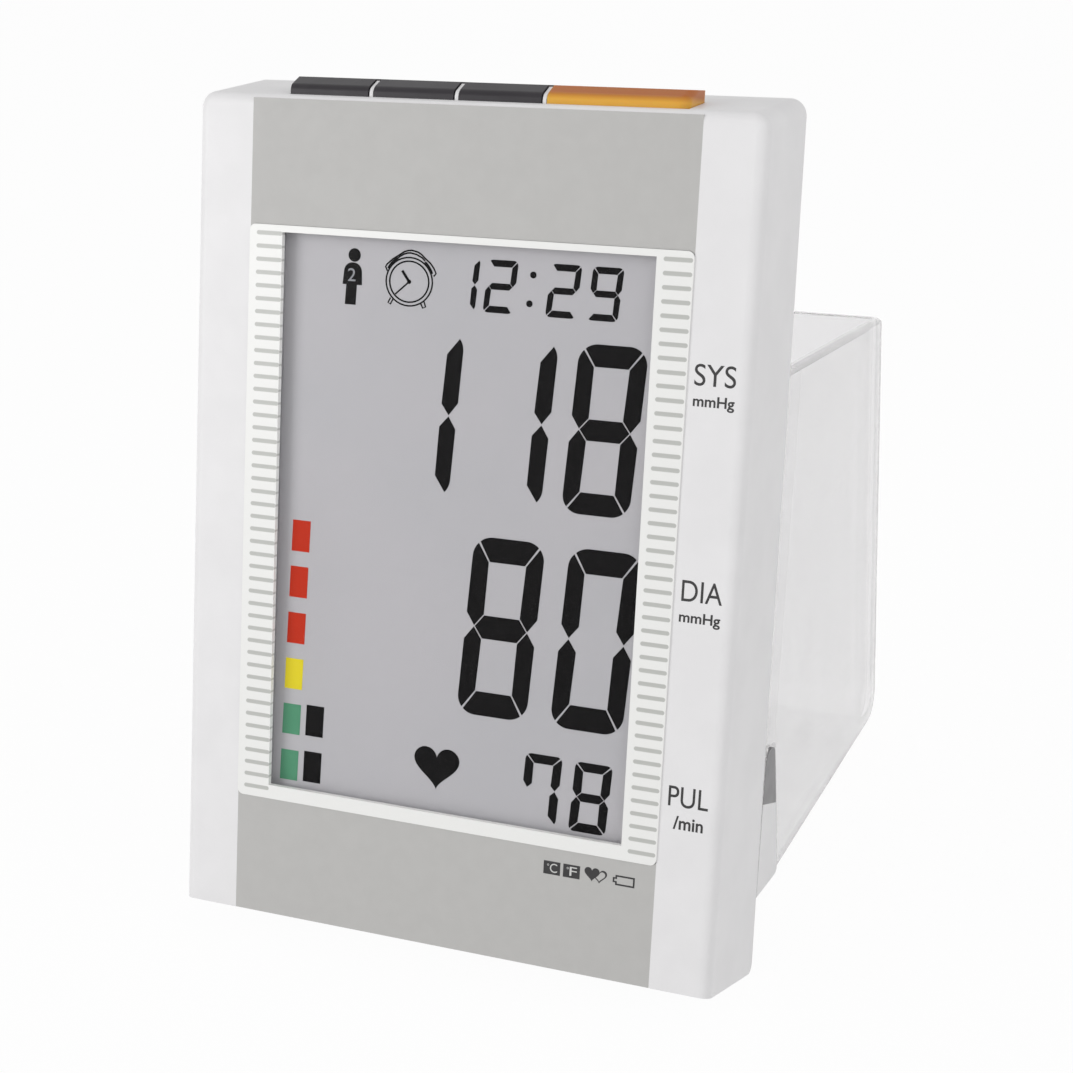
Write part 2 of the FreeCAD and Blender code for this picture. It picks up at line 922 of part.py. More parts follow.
def chambers(body):
    """Hollows the housing for the pump and the boards, and sinks the battery well from the rear."""
    start = s.boss_split
    inside = (-wall_inside, wall_inside)
    low = s.housing_bottom + s.case_wall
    split = well_top + s.well_wall * 2
    upper = rectangle(
        sketch(body, "pump_chamber", "XZ", start), inside, (split, housing_top - s.case_wall)
    )
    pocket(body, upper, housing_inside - start)
    lower = rectangle(sketch(body, "board_chamber", "XZ", start), inside, (low, split))
    pocket(body, lower, well_floor - s.well_wall - start)
    flank = sketch(body, "flank_chambers", "XZ", start)
    jamb = door_half + s.peg_length + s.well_wall / 2
    for left, right in ((-wall_inside, -jamb), (jamb, wall_inside)):
        rectangle(flank, (left, right), (low, split))
    pocket(body, flank, housing_inside - start)

    well = rectangle(
        sketch(body, "battery_well", "XZ", s.housing_depth + beyond),
        (-well_half, well_half),
        (s.well_bottom, well_top),
    )
    pocket(body, well, s.housing_depth + beyond - well_floor, flip=True)
    seat = rectangle(
        sketch(body, "door_seat", "XZ", s.housing_depth + beyond),
        (-door_half, door_half),
        (door_bottom, door_top),
    )
    pocket(body, seat, s.door_thickness + beyond, flip=True)
    pegs = sketch(body, "peg_holes", "YZ", door_half + s.peg_length)
    circle(pegs, peg_depth, peg_height, s.peg_radius + s.running_play)
    pocket(body, pegs, (door_half + s.peg_length) * 2)


# ---------------------------------------------------------------- face of the display


def make_face():
    outline_x = (-inlay_half - s.running_play, inlay_half + s.running_play)
    outline_z = (frame_bottom - s.running_play, frame_top + s.running_play)
    depth = (-beyond, s.recess_depth + beyond)
    for name, low, high in (
        ("upper_inlay", frame_top - s.frame_corner, inlay_top),
        ("lower_inlay", inlay_bottom, frame_bottom + s.frame_corner),
    ):
        outline = box(name + "_outline", outline_x, depth, outline_z)
        outline = rounded(name + "_notch", outline, s.frame_corner, "y")
        plate = box(name + "_plate", (-inlay_half, inlay_half), (0, s.recess_depth), (low, high))
        keep(name, cut(name, plate, outline))

    surround = box(
        "frame_block",
        (-inlay_half, inlay_half),
        (-s.frame_proud, s.recess_depth),
        (frame_bottom, frame_top),
    )
    surround = rounded("frame_rounded", surround, s.frame_corner, "y")
    hole = box("frame_hole", (-window_half, window_half), depth, (window_bottom, window_top))
    keep("display_frame", cut("display_frame", surround, hole))

    lens_half = window_half + s.lens_overlap
    lens_z = (window_bottom - s.lens_overlap, window_top + s.lens_overlap)
    lens_y = (s.recess_depth, s.recess_depth + s.lens_thickness)
    keep("display_window", box("display_window", (-lens_half, lens_half), lens_y, lens_z))


def make_lcd():
    front = s.recess_depth + s.lens_thickness + s.glass_gap
    middle = front + s.glass_thickness
    back = middle + s.glass_thickness
    glass_half = window_half + s.glass_margin
    top = window_top + s.glass_margin
    bottom = window_bottom - s.glass_margin
    ledge = bottom - s.glass_ledge
    keep(
        "lcd_front_glass",
        box("lcd_front_glass", (-glass_half, glass_half), (front, middle), (bottom, top)),
    )
    keep(
        "lcd_rear_glass",
        box("lcd_rear_glass", (-glass_half, glass_half), (middle, back), (ledge, top)),
    )
    fit = s.clearance
    rim = glass_half + fit + s.holder_wall
    tray = box(
        "holder_block",
        (-rim, rim),
        (front + s.plate_gap, s.board_depth),
        (ledge - fit - s.holder_wall, top + fit + s.holder_wall),
    )
    glass_pocket = box(
        "holder_pocket",
        (-glass_half - fit, glass_half + fit),
        (length(0), back),
        (ledge - fit, top + fit),
    )
    rear_pocket = box(
        "holder_hollow",
        (-window_half, window_half),
        (back + s.holder_floor, s.board_depth + beyond),
        (window_bottom, window_top),
    )
    zebra_half = s.zebra_width / 2
    zebra_low = ledge + fit * 3
    zebra_high = zebra_low + s.zebra_thickness
    slot = box(
        "holder_slot",
        (-zebra_half - fit, zebra_half + fit),
        (length(0), s.board_depth + beyond),
        (zebra_low - fit, zebra_high + fit),
    )
    keep("lcd_holder", cut("lcd_holder", tray, glass_pocket, rear_pocket, slot))
    keep(
        "zebra_strip",
        box(
            "zebra_strip",
            (-zebra_half, zebra_half),
            (back, s.board_depth),
            (zebra_low, zebra_high),
        ),
    )


# ---------------------------------------------------------------- boards


def chip(name, x, z, size_x, size_z, tall):
    """A component on the main board's rear face, centred at x, z."""
    return keep(
        name,
        box(
            name,
            (x - size_x / 2, x + size_x / 2),
            (board_back, board_back + tall),
            (z - size_z / 2, z + size_z / 2),
        ),
    )


def make_main_board():
    blank = box(
        "board_blank",
        (-board_half, board_half),
        (s.board_depth, board_back),
        (s.board_bottom, board_top),
    )
    holes = [
        rod(
            f"board_hole{n}",
            "Y",
            (x, s.board_depth - beyond, z),
            s.board_thickness + 2 * beyond,
            s.board_screw_radius + s.clearance,
        )
        for n, (x, z) in enumerate(post_places)
    ]
    keep("main_board", cut("main_board", blank, *holes))

    screws = []
    for n, (x, z) in enumerate(post_places):
        head = rod(
            f"board_screw_head{n}",
            "Y",
            (x, board_back, z),
            s.board_screw_head_height,
            s.board_screw_head,
        )
        shank = rod(
            f"board_screw_shank{n}",
            "Y",
            (x, s.board_depth - s.board_screw_length, z),
            s.board_screw_length + s.board_thickness,
            s.board_screw_radius,
        )
        screws.append(fuse(f"board_screw{n}", head, shank))
    keep("board_screws", group("board_screws", screws))

    middle = (s.board_bottom + board_top) / 2
    side = s.controller_side
    chip("controller_chip", 0, middle - s.controller_drop, side, side, s.controller_thickness)
    chip(
        "memory_chip",
        s.memory_x,
        middle - s.memory_drop,
        s.memory_width,
        s.memory_height,
        s.memory_thickness,
    )
    buzzer_start = (s.buzzer_x, board_back, middle + s.buzzer_rise)
    keep("buzzer", rod("buzzer", "Y", buzzer_start, s.buzzer_thickness, s.buzzer_radius))
    cans = []
    for n in range(3):
        start = (s.capacitor_x + s.capacitor_pitch * n, board_back, s.board_bottom + s.capacitor_rise)
        cans.append(rod(f"capacitor{n}", "Y", start, s.capacitor_length, s.capacitor_radius))
    keep("board_capacitors", group("board_capacitors", cans))


def make_key_board():
    front = s.case_wall + s.plate_gap
    back = front + s.key_board_depth
    keep(
        "key_board",
        box(
            "key_board",
            (key_lefts[0] - s.key_board_left, key_rights[3] + s.key_board_right),
            (front, back),
            (key_board_low, key_board_high),
        ),
    )
    half = s.switch_size / 2
    switches = []
    for name, x in zip(key_names, key_middles):
        block = box(
            name + "_switch_block",
            (x - half, x + half),
            (s.switch_centre - half, s.switch_centre + half),
            (key_board_high, switch_top),
        )
        bore_floor = plunger_top - s.switch_height - s.clearance
        bore = rod(
            name + "_switch_bore",
            "Z",
            (x, s.switch_centre, bore_floor - s.key_travel + s.clearance * 2),
            s.switch_height * 2,
            s.plunger_radius + s.running_play,
        )
        switches.append(cut(name + "_switch", block, bore))
        plunger_low = bore_floor + s.clearance * 3
        keep(
            name + "_plunger",
            rod(
                name + "_plunger",
                "Z",
                (x, s.switch_centre, plunger_low),
                plunger_top - plunger_low,
                s.plunger_radius,
            ),
        )
    keep("tact_switches", group("tact_switches", switches))


# ---------------------------------------------------------------- keys


def make_key(name, left, right):
    """A bevelled cap in its window, with a flange under the case and a stem down to its switch."""
    body = new_body(name + "_key")
    behind_wall = s.case_wall + s.plate_gap
    step = key_floor + s.key_travel + s.clearance
    cap = polygon(
        sketch(body, name + "_cap", "YZ", left),
        [
            (s.key_front, step),
            (behind_wall, step),
            (behind_wall, key_floor - s.clearance),
            (s.key_back, key_floor - s.clearance),
            (s.key_back, inlay_top + s.key_rear_crown),
            (s.key_front + s.key_bevel_depth, inlay_top + s.key_crown),
            (s.key_front, inlay_top + s.key_fold),
        ],
    )
    pad(body, cap, right - left)
    front = s.key_front.number
    fold = (inlay_top + s.key_fold).number
    if name == "start":
        end = right.number
        crown = inlay_top.number
        round_edges(
            body,
            "start_round_end",
            s.start_end_radius,
            lambda edge: edge_runs(edge, "z")
            and edge.BoundBox.XMin > end - touching
            and edge.BoundBox.ZMax > crown
            and edge.BoundBox.YMax < front + touching,
        )
    round_edges(
        body,
        name + "_fold",
        s.key_fold_radius,
        lambda edge: edge_runs(edge, "x")
        and edge.BoundBox.YMax < front + touching
        and abs(edge.BoundBox.ZMax - fold) < touching,
    )
    flange_low = key_floor - s.clearance - s.key_skirt
    flange = rectangle(
        sketch(body, name + "_flange", "XY", flange_low),
        (left - s.clearance, right + s.clearance),
        (behind_wall, s.key_back + s.key_skirt),
    )
    pad(body, flange, s.key_skirt)
    middle = (left + right) / 2
    half = s.stem_width / 2
    stem = rectangle(
        sketch(body, name + "_stem", "XY", plunger_top),
        (middle - half, middle + half),
        (s.switch_centre - half, s.switch_centre + half),
    )
    pad(body, stem, flange_low - plunger_top)


# ---------------------------------------------------------------- pump


def make_pump():
    y, z = s.pump_depth, pump_height
    can_length = can_right - can_left
    shaft_hole = s.shaft_radius + s.running_play
    can = rod("can_block", "X", (can_left, y, z), can_length, s.can_radius)
    inside = rod(
        "can_hollow",
        "X",
        (can_left + s.can_wall, y, z),
        can_length - s.can_wall * 2,
        s.can_radius - s.can_wall,
    )
    bore = rod("can_bore", "X", (can_left - beyond, y, z), can_length + 2 * beyond, shaft_hole)
    keep("pump_can", cut("pump_can", can, inside, bore))

    magnet_outer = s.can_radius - s.can_wall - s.running_play
    magnet_x = (can_left + s.magnet_left, can_right - s.magnet_right)
    ring = rod(
        "magnet_ring", "X", (magnet_x[0], y, z), magnet_x[1] - magnet_x[0], magnet_outer
    )
    hole = rod(
        "magnet_hole",
        "X",
        (magnet_x[0] - beyond, y, z),
        magnet_x[1] - magnet_x[0] + 2 * beyond,
        magnet_outer - s.magnet_thickness,
    )
    gap = box(
        "magnet_gap",
        (magnet_x[0] - beyond, magnet_x[1] + beyond),
        (y - s.can_radius, y + s.can_radius),
        (z - s.cam_radius, z + s.cam_radius),
    )
    keep("motor_magnets", cut("motor_magnets", ring, hole, gap))

    shaft_left = can_left + s.can_wall / 2
    cam_left = can_right + s.cam_start
    shaft = rod(
        "shaft", "X", (shaft_left, y, z), cam_left + s.cam_length - shaft_left, s.shaft_radius
    )
    core = rod(
        "rotor_core",
        "X",
        (magnet_x[0] + s.can_wall, y, z),
        magnet_x[1] - magnet_x[0] - s.can_wall * 2,
        s.rotor_radius,
    )
    cam = rod("cam", "X", (cam_left, y, z + s.cam_offset), s.cam_length, s.cam_radius)
    keep("pump_rotor", fuse("pump_rotor", shaft, core, cam))

    half = s.head_size / 2
    head = box("head_block", (can_right, head_right), (y - half, y + half), (z - half, z + half))
    room = rod(
        "head_room",
        "X",
        (can_right + s.head_wall, y, z),
        s.head_room,
        s.cam_radius + s.cam_offset * 2,
    )
    head_bore = rod(
        "head_bore", "X", (can_right - beyond, y, z), s.head_wall + 2 * beyond, shaft_hole
    )
    outlet, air_way = nozzle("pump_nozzle", "X", (head_right, s.link_depth, link_height), s.link_stub)
    solid_head = fuse("head_with_nozzle", head, outlet)
    keep("pump_head", cut("pump_head", solid_head, room, head_bore, air_way))

    cushion = box(
        "pad_block",
        (can_left + s.pad_inset, can_right - s.pad_inset),
        (y, housing_inside),
        (z - s.pad_height / 2, z + s.pad_height / 2),
    )
    saddle = rod("pad_saddle", "X", (can_left, y, z), can_length, s.can_radius + s.running_play)
    keep("pump_pad", cut("pump_pad", cushion, saddle))


# ---------------------------------------------------------------- air path


def nozzle(name, axis, start, long):
    """A tube stub and the air way through it, which also runs a little into the part behind it."""
    stub = rod(name, axis, start, long, s.nozzle_radius)
    lead = [length(at) for at in start]
    turn = "XYZ".index(axis)
    lead[turn] = lead[turn] - s.case_wall
    way = rod(name + "_way", axis, lead, long + s.case_wall * 2, s.nozzle_bore)
    return stub, way


def tube(name, axis, start, long):
    outside = rod(name + "_outside", axis, start, long, s.tube_radius)
    lead = [length(at) for at in start]
    turn = "XYZ".index(axis)
    lead[turn] = lead[turn] - beyond
    inside = rod(name + "_inside", axis, lead, long + 2 * beyond, s.hose_bore)
    return cut(name, outside, inside)


def make_air_parts():
    stub = s.link_stub
    wall = s.manifold_wall
    block = box(
        "manifold_block",
        (manifold_left, wall_inside),
        (s.manifold_front, s.manifold_back),
        (manifold_low, manifold_high),
    )
    down = manifold_low - stub
    stubs = [
        nozzle("manifold_in", "X", (manifold_left - stub, s.link_depth, link_height), stub),
        nozzle("manifold_to_sensor", "Z", (sensor_x, s.sensor_depth, down), stub),
        nozzle("manifold_to_valve", "Z", (valve_x, s.valve_depth, down), stub),
        nozzle("manifold_to_hose", "Z", (hose_x, s.hose_depth, down), stub),
    ]
    inner = box(
        "manifold_room",
        (manifold_left + wall, wall_inside - wall),
        (s.manifold_front + wall, s.manifold_back - wall),
        (manifold_low + wall, manifold_high - wall),
    )
    whole = fuse("manifold_whole", block, *[pair[0] for pair in stubs])
    keep("air_manifold", cut("air_manifold", whole, inner, *[pair[1] for pair in stubs]))

    half = s.sensor_size / 2
    sensor = box(
        "sensor_block",
        (sensor_x - half, sensor_x + half),
        (board_back, s.sensor_back),
        (sensor_low, sensor_high),
    )
    stub_up, way = nozzle("sensor_nozzle", "Z", (sensor_x, s.sensor_depth, sensor_high), stub)
    keep("pressure_sensor", cut("pressure_sensor", fuse("sensor_whole", sensor, stub_up), way))

    half = s.valve_size / 2
    valve = box(
        "valve_block",
        (valve_x - half, valve_x + half),
        (board_back, s.valve_back),
        (valve_low, valve_high),
    )
    stub_up, way = nozzle("valve_nozzle", "Z", (valve_x, s.valve_depth, valve_high), stub)
    pin_bore = rod(
        "valve_pin_bore",
        "Z",
        (valve_x, s.valve_depth, valve_low - beyond),
        s.valve_size + beyond * 2,
        s.valve_pin + s.running_play,
    )
    keep("valve_body", cut("valve_body", fuse("valve_whole", valve, stub_up), way, pin_bore))
    pin_start = (valve_x, s.valve_depth, valve_low - s.valve_pin_proud)
    keep("valve_plunger", rod("valve_plunger", "Z", pin_start, s.valve_size, s.valve_pin))

    fit = s.clearance
    links = [
        tube(
            "pump_link",
            "X",
            (head_right + fit, s.link_depth, link_height),
            s.link_run - fit * 2,
        ),
        tube(
            "sensor_link",
            "Z",
            (sensor_x, s.sensor_depth, sensor_high + fit),
            manifold_low - sensor_high - fit * 2,
        ),
        tube(
            "valve_link",
            "Z",
            (valve_x, s.valve_depth, valve_high + fit),
            manifold_low - valve_high - fit * 2,
        ),
    ]
    keep("link_tubes", group("link_tubes", links))


def bent_path(points, radius):
    """Straight runs between the points, joined by arcs tangent to both runs."""
    runs = []
    start = points[0]
    for before, corner, after in zip(points, points[1:], points[2:]):
        back = (before - corner).normalize()
        on = (after - corner).normalize()
        half_turn = (math.pi - back.getAngle(on)) / 2
        reach = radius * math.tan(half_turn)
        enter = corner + back * reach
        leave = corner + on * reach
        towards = (back + on).normalize()
        middle = corner + towards * (radius / math.cos(half_turn) - radius)
        runs.append(Part.LineSegment(start, enter).toShape())
        runs.append(Part.Arc(enter, middle, leave).toShape())
        start = leave
    runs.append(Part.LineSegment(start, points[-1]).toShape())
    return Part.Wire(runs)


def swept(path, radius):
    start = path.Edges[0].Vertexes[0].Point
    ahead = path.Edges[0].Vertexes[-1].Point - start
    ring = Part.Wire([Part.makeCircle(radius, start, ahead)])
    return path.makePipeShell([ring], True, False)


def make_hose():
    """The hose from the manifold down and across to the cuff socket."""
    stops = [
        (hose_x, s.hose_depth, manifold_low - s.clearance),
        (hose_x, s.hose_depth, sensor_low - s.hose_drop),
        (-s.hose_cross, s.socket_depth, s.socket_height),
        (barb_left + s.clearance, s.socket_depth, s.socket_height),
    ]
    points = [Vector(*(along.number for along in stop)) for stop in stops]
    path = bent_path(points, s.hose_bend.number)
    item = doc.addObject("Part::Feature", "air_hose")
    item.Shape = swept(path, s.hose_radius.number).cut(swept(path, s.hose_bore.number))
    keep("air_hose", item)


socket_mouth = -(case_half(s.socket_depth) - s.running_play * 2)
rim_radius = s.socket_radius + s.socket_rim
rim_half = case_half(s.socket_depth - rim_radius).least(case_half(s.socket_depth + rim_radius))
rim_left = s.case_wall + s.running_play - rim_half
neck_left = rim_left + s.socket_rim_thickness
barb_left = socket_mouth + s.socket_bore_depth + s.socket_end_wall
barb_right = barb_left + s.socket_barb


def make_air_socket():
    y, z = s.socket_depth, s.socket_height
    pieces = [
        rod(
            "socket_mouth",
            "X",
            (socket_mouth, y, z),
            neck_left - socket_mouth,
            s.socket_radius,
        ),
        rod("socket_flange", "X", (rim_left, y, z), s.socket_rim_thickness, rim_radius),
        rod("socket_neck", "X", (neck_left, y, z), barb_left - neck_left, s.socket_neck_radius),
        rod("socket_barb", "X", (barb_left, y, z), s.socket_barb, s.nozzle_radius),
    ]
    bore = rod(
        "socket_bore", "X", (socket_mouth - beyond, y, z), s.socket_bore_depth + beyond, s.socket_bore
    )
    way = rod(
        "socket_way", "X", (socket_mouth, y, z), barb_right + beyond - socket_mouth, s.nozzle_bore
    )
    keep("air_socket", cut("air_socket", fuse("socket_whole", *pieces), bore, way))


def make_dc_jack():
    y, z = jack_depth, s.jack_height
    half = s.jack_half
    mouth = -(case_half(y) - s.running_play * 2)
    block_left = s.case_wall + s.running_play - case_half(board_back).least(case_half(y + half))
    block = box(
        "jack_block",
        (block_left, block_left + s.jack_length),
        (y - half, y + half),
        (z - half, z + half),
    )
    nose = rod("jack_nose", "X", (mouth, y, z), block_left + beyond - mouth, s.jack_nose_radius)
    bore = rod("jack_bore", "X", (mouth - beyond, y, z), s.jack_bore_depth + beyond, s.jack_bore)
    pin = rod("jack_pin", "X", (mouth + beyond, y, z), s.jack_bore_depth + beyond, s.jack_pin)
    body = cut("jack_shell", fuse("jack_outside", block, nose), bore)
    keep("dc_jack", fuse("dc_jack", body, pin))


# ---------------------------------------------------------------- batteries

spring_pitch = (s.spring_length - s.spring_wire * 2) / s.spring_turns


def make_batteries():
    cells, plates, springs = [], [], []
    coil = make_coil()
    plate_half = s.contact_width / 2
    plate_high = well_top - s.contact_thickness
    for number in range(cell_count):
        x = s.cell_pitch * (number - (cell_count - 1) / 2)
        up = number % 2 == 0
        base = s.well_bottom + s.contact_thickness
        if up:
            cell_low = base + s.spring_length
            tip_low = cell_low + s.cell_length
            spring_low = base
        else:
            tip_low = base
            cell_low = base + s.cell_tip_length
            spring_low = cell_low + s.cell_length
        shell = rod(f"cell{number}", "Z", (x, cell_depth, cell_low), s.cell_length, s.cell_radius)
        shell = round_ends(f"cell{number}_rounded", shell)
        tip = rod(
            f"cell{number}_tip",
            "Z",
            (x, cell_depth, tip_low),
            s.cell_tip_length,
            s.cell_tip_radius,
        )
        cells.append(fuse(f"cell{number}_whole", shell, tip))
        for end, low in (("low", s.well_bottom), ("high", plate_high)):
            plates.append(
                box(
                    f"contact{number}_{end}",
                    (x - plate_half, x + plate_half),
                    (cell_depth - plate_half, cell_depth + plate_half),
                    (low, low + s.contact_thickness),
                )
            )
        spring = group(f"spring{number}", [coil])
        place(spring, x, cell_depth, spring_low + s.spring_wire)
        springs.append(spring)
    keep("battery_cells", group("battery_cells", cells))
    keep("battery_contacts", group("battery_contacts", plates))
    keep("battery_springs", group("battery_springs", springs))


def round_ends(name, base):
    doc.recompute()
    item = doc.addObject("Part::Fillet", name)
    item.Base = base
    item.Edges = [
        (index, s.cell_edge.number, s.cell_edge.number)
        for index, edge in enumerate(base.Shape.Edges, start=1)
        if isinstance(edge.Curve, Part.Circle)
    ]
    return item


def make_half_turn():
    """Half a turn of the spring's wire: half a ring, tilted so that its two ends differ in height."""
    item = doc.addObject("Part::Torus", "spring_half_turn")
    bind(item, "Radius1", s.spring_radius)
    bind(item, "Radius2", s.spring_wire)
    bind(item, "Angle3", 180)
    tilt = f"asin({(spring_pitch / 4 / s.spring_radius).formula})"
    item.Placement = Placement(Vector(), Rotation(Vector(0, 1, 0), 1))
    item.setExpression("Placement.Rotation.Angle", tilt)
    return item


def make_coil():
    """A compression spring: half turns end to end, every other one turned over to face its neighbours."""
    half_turn = make_half_turn()
    halves = []
    for number in range(2 * sizes["spring_turns"]):
        half = group(f"spring_half{number}", [half_turn])
        turned_over = Rotation(Vector(1, 0, 0), 180 * (number % 2))
        place(half, 0, 0, spring_pitch * (number + 0.5) / 2, turned_over)
        halves.append(half)
    return fuse("spring_coil", *halves)


def make_battery_door():
    body = new_body("battery_door")
    half = door_half - s.door_clearance
    low = door_bottom + s.door_clearance
    high = door_top - s.door_clearance
    panel = rectangle(sketch(body, "door_panel", "YZ"), (door_front, s.housing_depth), (low, high))
    pad(body, panel, half * 2, both=True)
    lower = low.number
    round_edges(
        body,
        "door_round_end",
        door_round - touching,
        lambda edge: edge_runs(edge, "x") and edge.BoundBox.ZMax < lower + touching,
    )
    pegs = sketch(body, "door_pegs", "YZ")
    circle(pegs, peg_depth, peg_height, s.peg_radius)
    pad(body, pegs, (door_half + s.peg_length - s.clearance) * 2, both=True)
    grip = rectangle(
        sketch(body, "door_grip", "XZ", s.housing_depth + beyond),
        (-s.grip_width / 2, s.grip_width / 2),
        (high - s.grip_inset - s.grip_height, high - s.grip_inset),
    )
    pocket(body, grip, s.grip_depth + beyond, flip=True)


# ---------------------------------------------------------------- bin


def bin_underside(depth):
    """Height of the bin's underside at a depth."""
    climb = s.bin_bottom_rear_height - s.bin_bottom_front_height
    return s.bin_bottom_front_height + (depth - s.bin_front) * climb / (s.bin_bottom_rear - s.bin_front)


def make_storage_bin():
    body = new_body("storage_bin")
    side = polygon(
        sketch(body, "bin_side", "YZ"),
        [
            (s.bin_front, s.bin_bottom_front_height),
            (s.bin_bottom_rear, s.bin_bottom_rear_height),
            (s.bin_top_rear, s.bin_top_rear_height),
            (s.bin_front, s.bin_top_front_height),
        ],
    )
    pad(body, side, s.bin_width, both=True)
    wall = s.bin_wall
    width = bin_half.number
    inside = width - wall.number
    rear = (s.bin_top_rear - wall * 2).number
    bend_top = (s.bin_bottom_rear_height + wall * 2).number
    middle = ((s.bin_bottom_rear_height + s.bin_top_rear_height) / 2).number

    def lower_bend(edge):
        bounds = edge.BoundBox
        return edge_runs(edge, "x") and bounds.YMin > rear and bounds.ZMax < bend_top

    def rear_corner(edge):
        bounds = edge.BoundBox
        return bounds.YMin > rear and bounds.ZMin < middle < bounds.ZMax

    rear_height = s.bin_top_rear_height - s.bin_bottom_rear_height
    rear_slope = (s.bin_bottom_rear - s.bin_top_rear) / rear_height
    across_wall = wall * (1 + rear_slope * rear_slope).root()
    behind = s.bin_bottom_rear - across_wall - wall * rear_slope
    floor_end = s.housing_depth + s.bin_floor_gap
    room = polygon(
        sketch(body, "bin_room", "YZ"),
        [
            (s.bin_front - beyond, length(-beyond)),
            (floor_end, length(-beyond)),
            (floor_end, bin_underside(floor_end) + wall),
            (behind, bin_underside(behind) + wall),
            (s.bin_top_rear - across_wall - rear_slope * beyond, s.bin_top_rear_height + beyond),
            (s.bin_front - beyond, s.bin_top_front_height + beyond),
        ],
    )
    pocket(body, room, s.bin_width - wall * 2, both=True)

    def inner_bend(edge):
        return lower_bend(edge) and abs(edge.BoundBox.XLength - inside * 2) < touching

    def inner_corner(edge):
        return rear_corner(edge) and abs(abs(edge.BoundBox.Center.x) - inside) < touching

    def outer_bend(edge):
        return lower_bend(edge) and not inner_bend(edge)

    def outer_corner(edge):
        return rear_corner(edge) and abs(abs(edge.BoundBox.Center.x) - width) < touching

    round_edges(body, "bin_inner_bend", s.bin_bend - wall, inner_bend)
    round_edges(body, "bin_inner_corners", s.bin_corner - wall, inner_corner)
    round_edges(body, "bin_bend", s.bin_bend, outer_bend)
    round_edges(body, "bin_corners", s.bin_corner, outer_corner)
    rim = s.bin_top_rear.number

    def outer_rim(edge):
        return edge_runs(edge, "x") and abs(edge.BoundBox.YMin - rim) < touching

    round_edges(body, "bin_rim", s.bin_rim_radius, outer_rim)

    turn = s.bin_front + s.bin_front_corner
    corner = rounding(
        sketch(body, "bin_front_corners", "YZ"),
        turn,
        bin_underside(turn) + s.bin_front_corner,
        s.bin_front_corner,
    )
    pocket(body, corner, s.bin_width + beyond, both=True)

    below = length(-beyond)
    mouth = (s.slot_front + s.slot_mouth_width, s.bin_bottom_front_height)
    shoulder = (s.slot_front + s.slot_top_width, s.slot_top)
    slot = polygon(
        sketch(body, "bin_slot", "YZ"),
        [
            (s.slot_front, below),
            (on_line(mouth, shoulder, below), below),
            shoulder,
            (s.slot_front, s.slot_top),
        ],
    )
    pocket(body, slot, s.bin_width + beyond, both=True)
    top = s.slot_top.number
    slot_back = mouth[0].number
    round_edges(
        body,
        "bin_slot_corners",
        s.slot_corner,
        lambda edge: edge_runs(edge, "x")
        and abs(edge.BoundBox.ZMax - top) < touching
        and edge.BoundBox.YMax < slot_back,
    )


def make_bin_stops():
    body = new_body("bin_stops")
    for side, name in ((1, "right"), (-1, "left")):
        stop = lug_profile(
            sketch(body, f"{name}_stop", "YZ", side * housing_half),
            s.lug_top,
            s.stop_top,
            low_drop=s.lug_top_drop,
        )
        pad(body, stop, s.lug_width, flip=side < 0)
    top = s.stop_top.number

    def top_edge(edge):
        return edge_runs(edge, "x") and abs(edge.BoundBox.ZMax - top) < touching

    round_edges(body, "stop_round", s.stop_corner, top_edge)


# ---------------------------------------------------------------- feet and screws


def table(depth):
    """Height of the table's surface at a depth, in the leaning frame."""
    return (length(depth) - s.rear_depth_bottom) * s.lean_slope - s.foot_proud


def make_feet():
    runs = {
        "base_feet": (s.foot_front, s.foot_back, s.foot_x, case_low),
        "bin_feet": (
            s.bin_foot_front,
            s.bin_foot_front + s.bin_foot_length,
            s.bin_foot_x,
            bin_underside,
        ),
    }
    for name, (front, back, x, underside) in runs.items():
        body = new_body(name)
        for side, word in ((1, "right"), (-1, "left")):
            start = side * x - s.foot_width / 2
            wedge = polygon(
                sketch(body, f"{name}_{word}", "YZ", start),
                [
                    (front, table(front)),
                    (back, table(back)),
                    (back, underside(back)),
                    (front, underside(front)),
                ],
            )
            pad(body, wedge, s.foot_width)


def make_case_screws():
    screws = []
    for n, (x, z) in enumerate(boss_places):
        head = rod(f"screw_head{n}", "Y", (x, screw_seat, z), s.screw_head_height, s.screw_head)
        point = (x, screw_seat - s.screw_length, z)
        shank = rod(f"screw_shank{n}", "Y", point, s.screw_length, s.screw_radius)
        screws.append(fuse(f"case_screw{n}", head, shank))
    keep("case_screws", group("case_screws", screws))


# ---------------------------------------------------------------- build

make_front_cover()
make_rear_cover()
make_face()
make_lcd()
make_main_board()
make_key_board()
for key_name, key_left_side, key_right_side in zip(key_names, key_lefts, key_rights):
    make_key(key_name, key_left_side, key_right_side)
make_pump()
make_air_parts()
make_hose()
make_air_socket()
make_dc_jack()
make_batteries()
make_battery_door()
make_storage_bin()
make_bin_stops()
make_feet()
make_case_screws()
doc.recompute()

faults = [item.Name for item in doc.Objects if "Invalid" in item.State or "Error" in item.State]
for name, item in nodes.items():
    shape = item.Shape
    if shape.isNull() or not shape.isValid() or not shape.Solids:
        faults.append(name)
if faults:
    raise ValueError("faulty pieces: " + ", ".join(faults))

# ---------------------------------------------------------------- stand

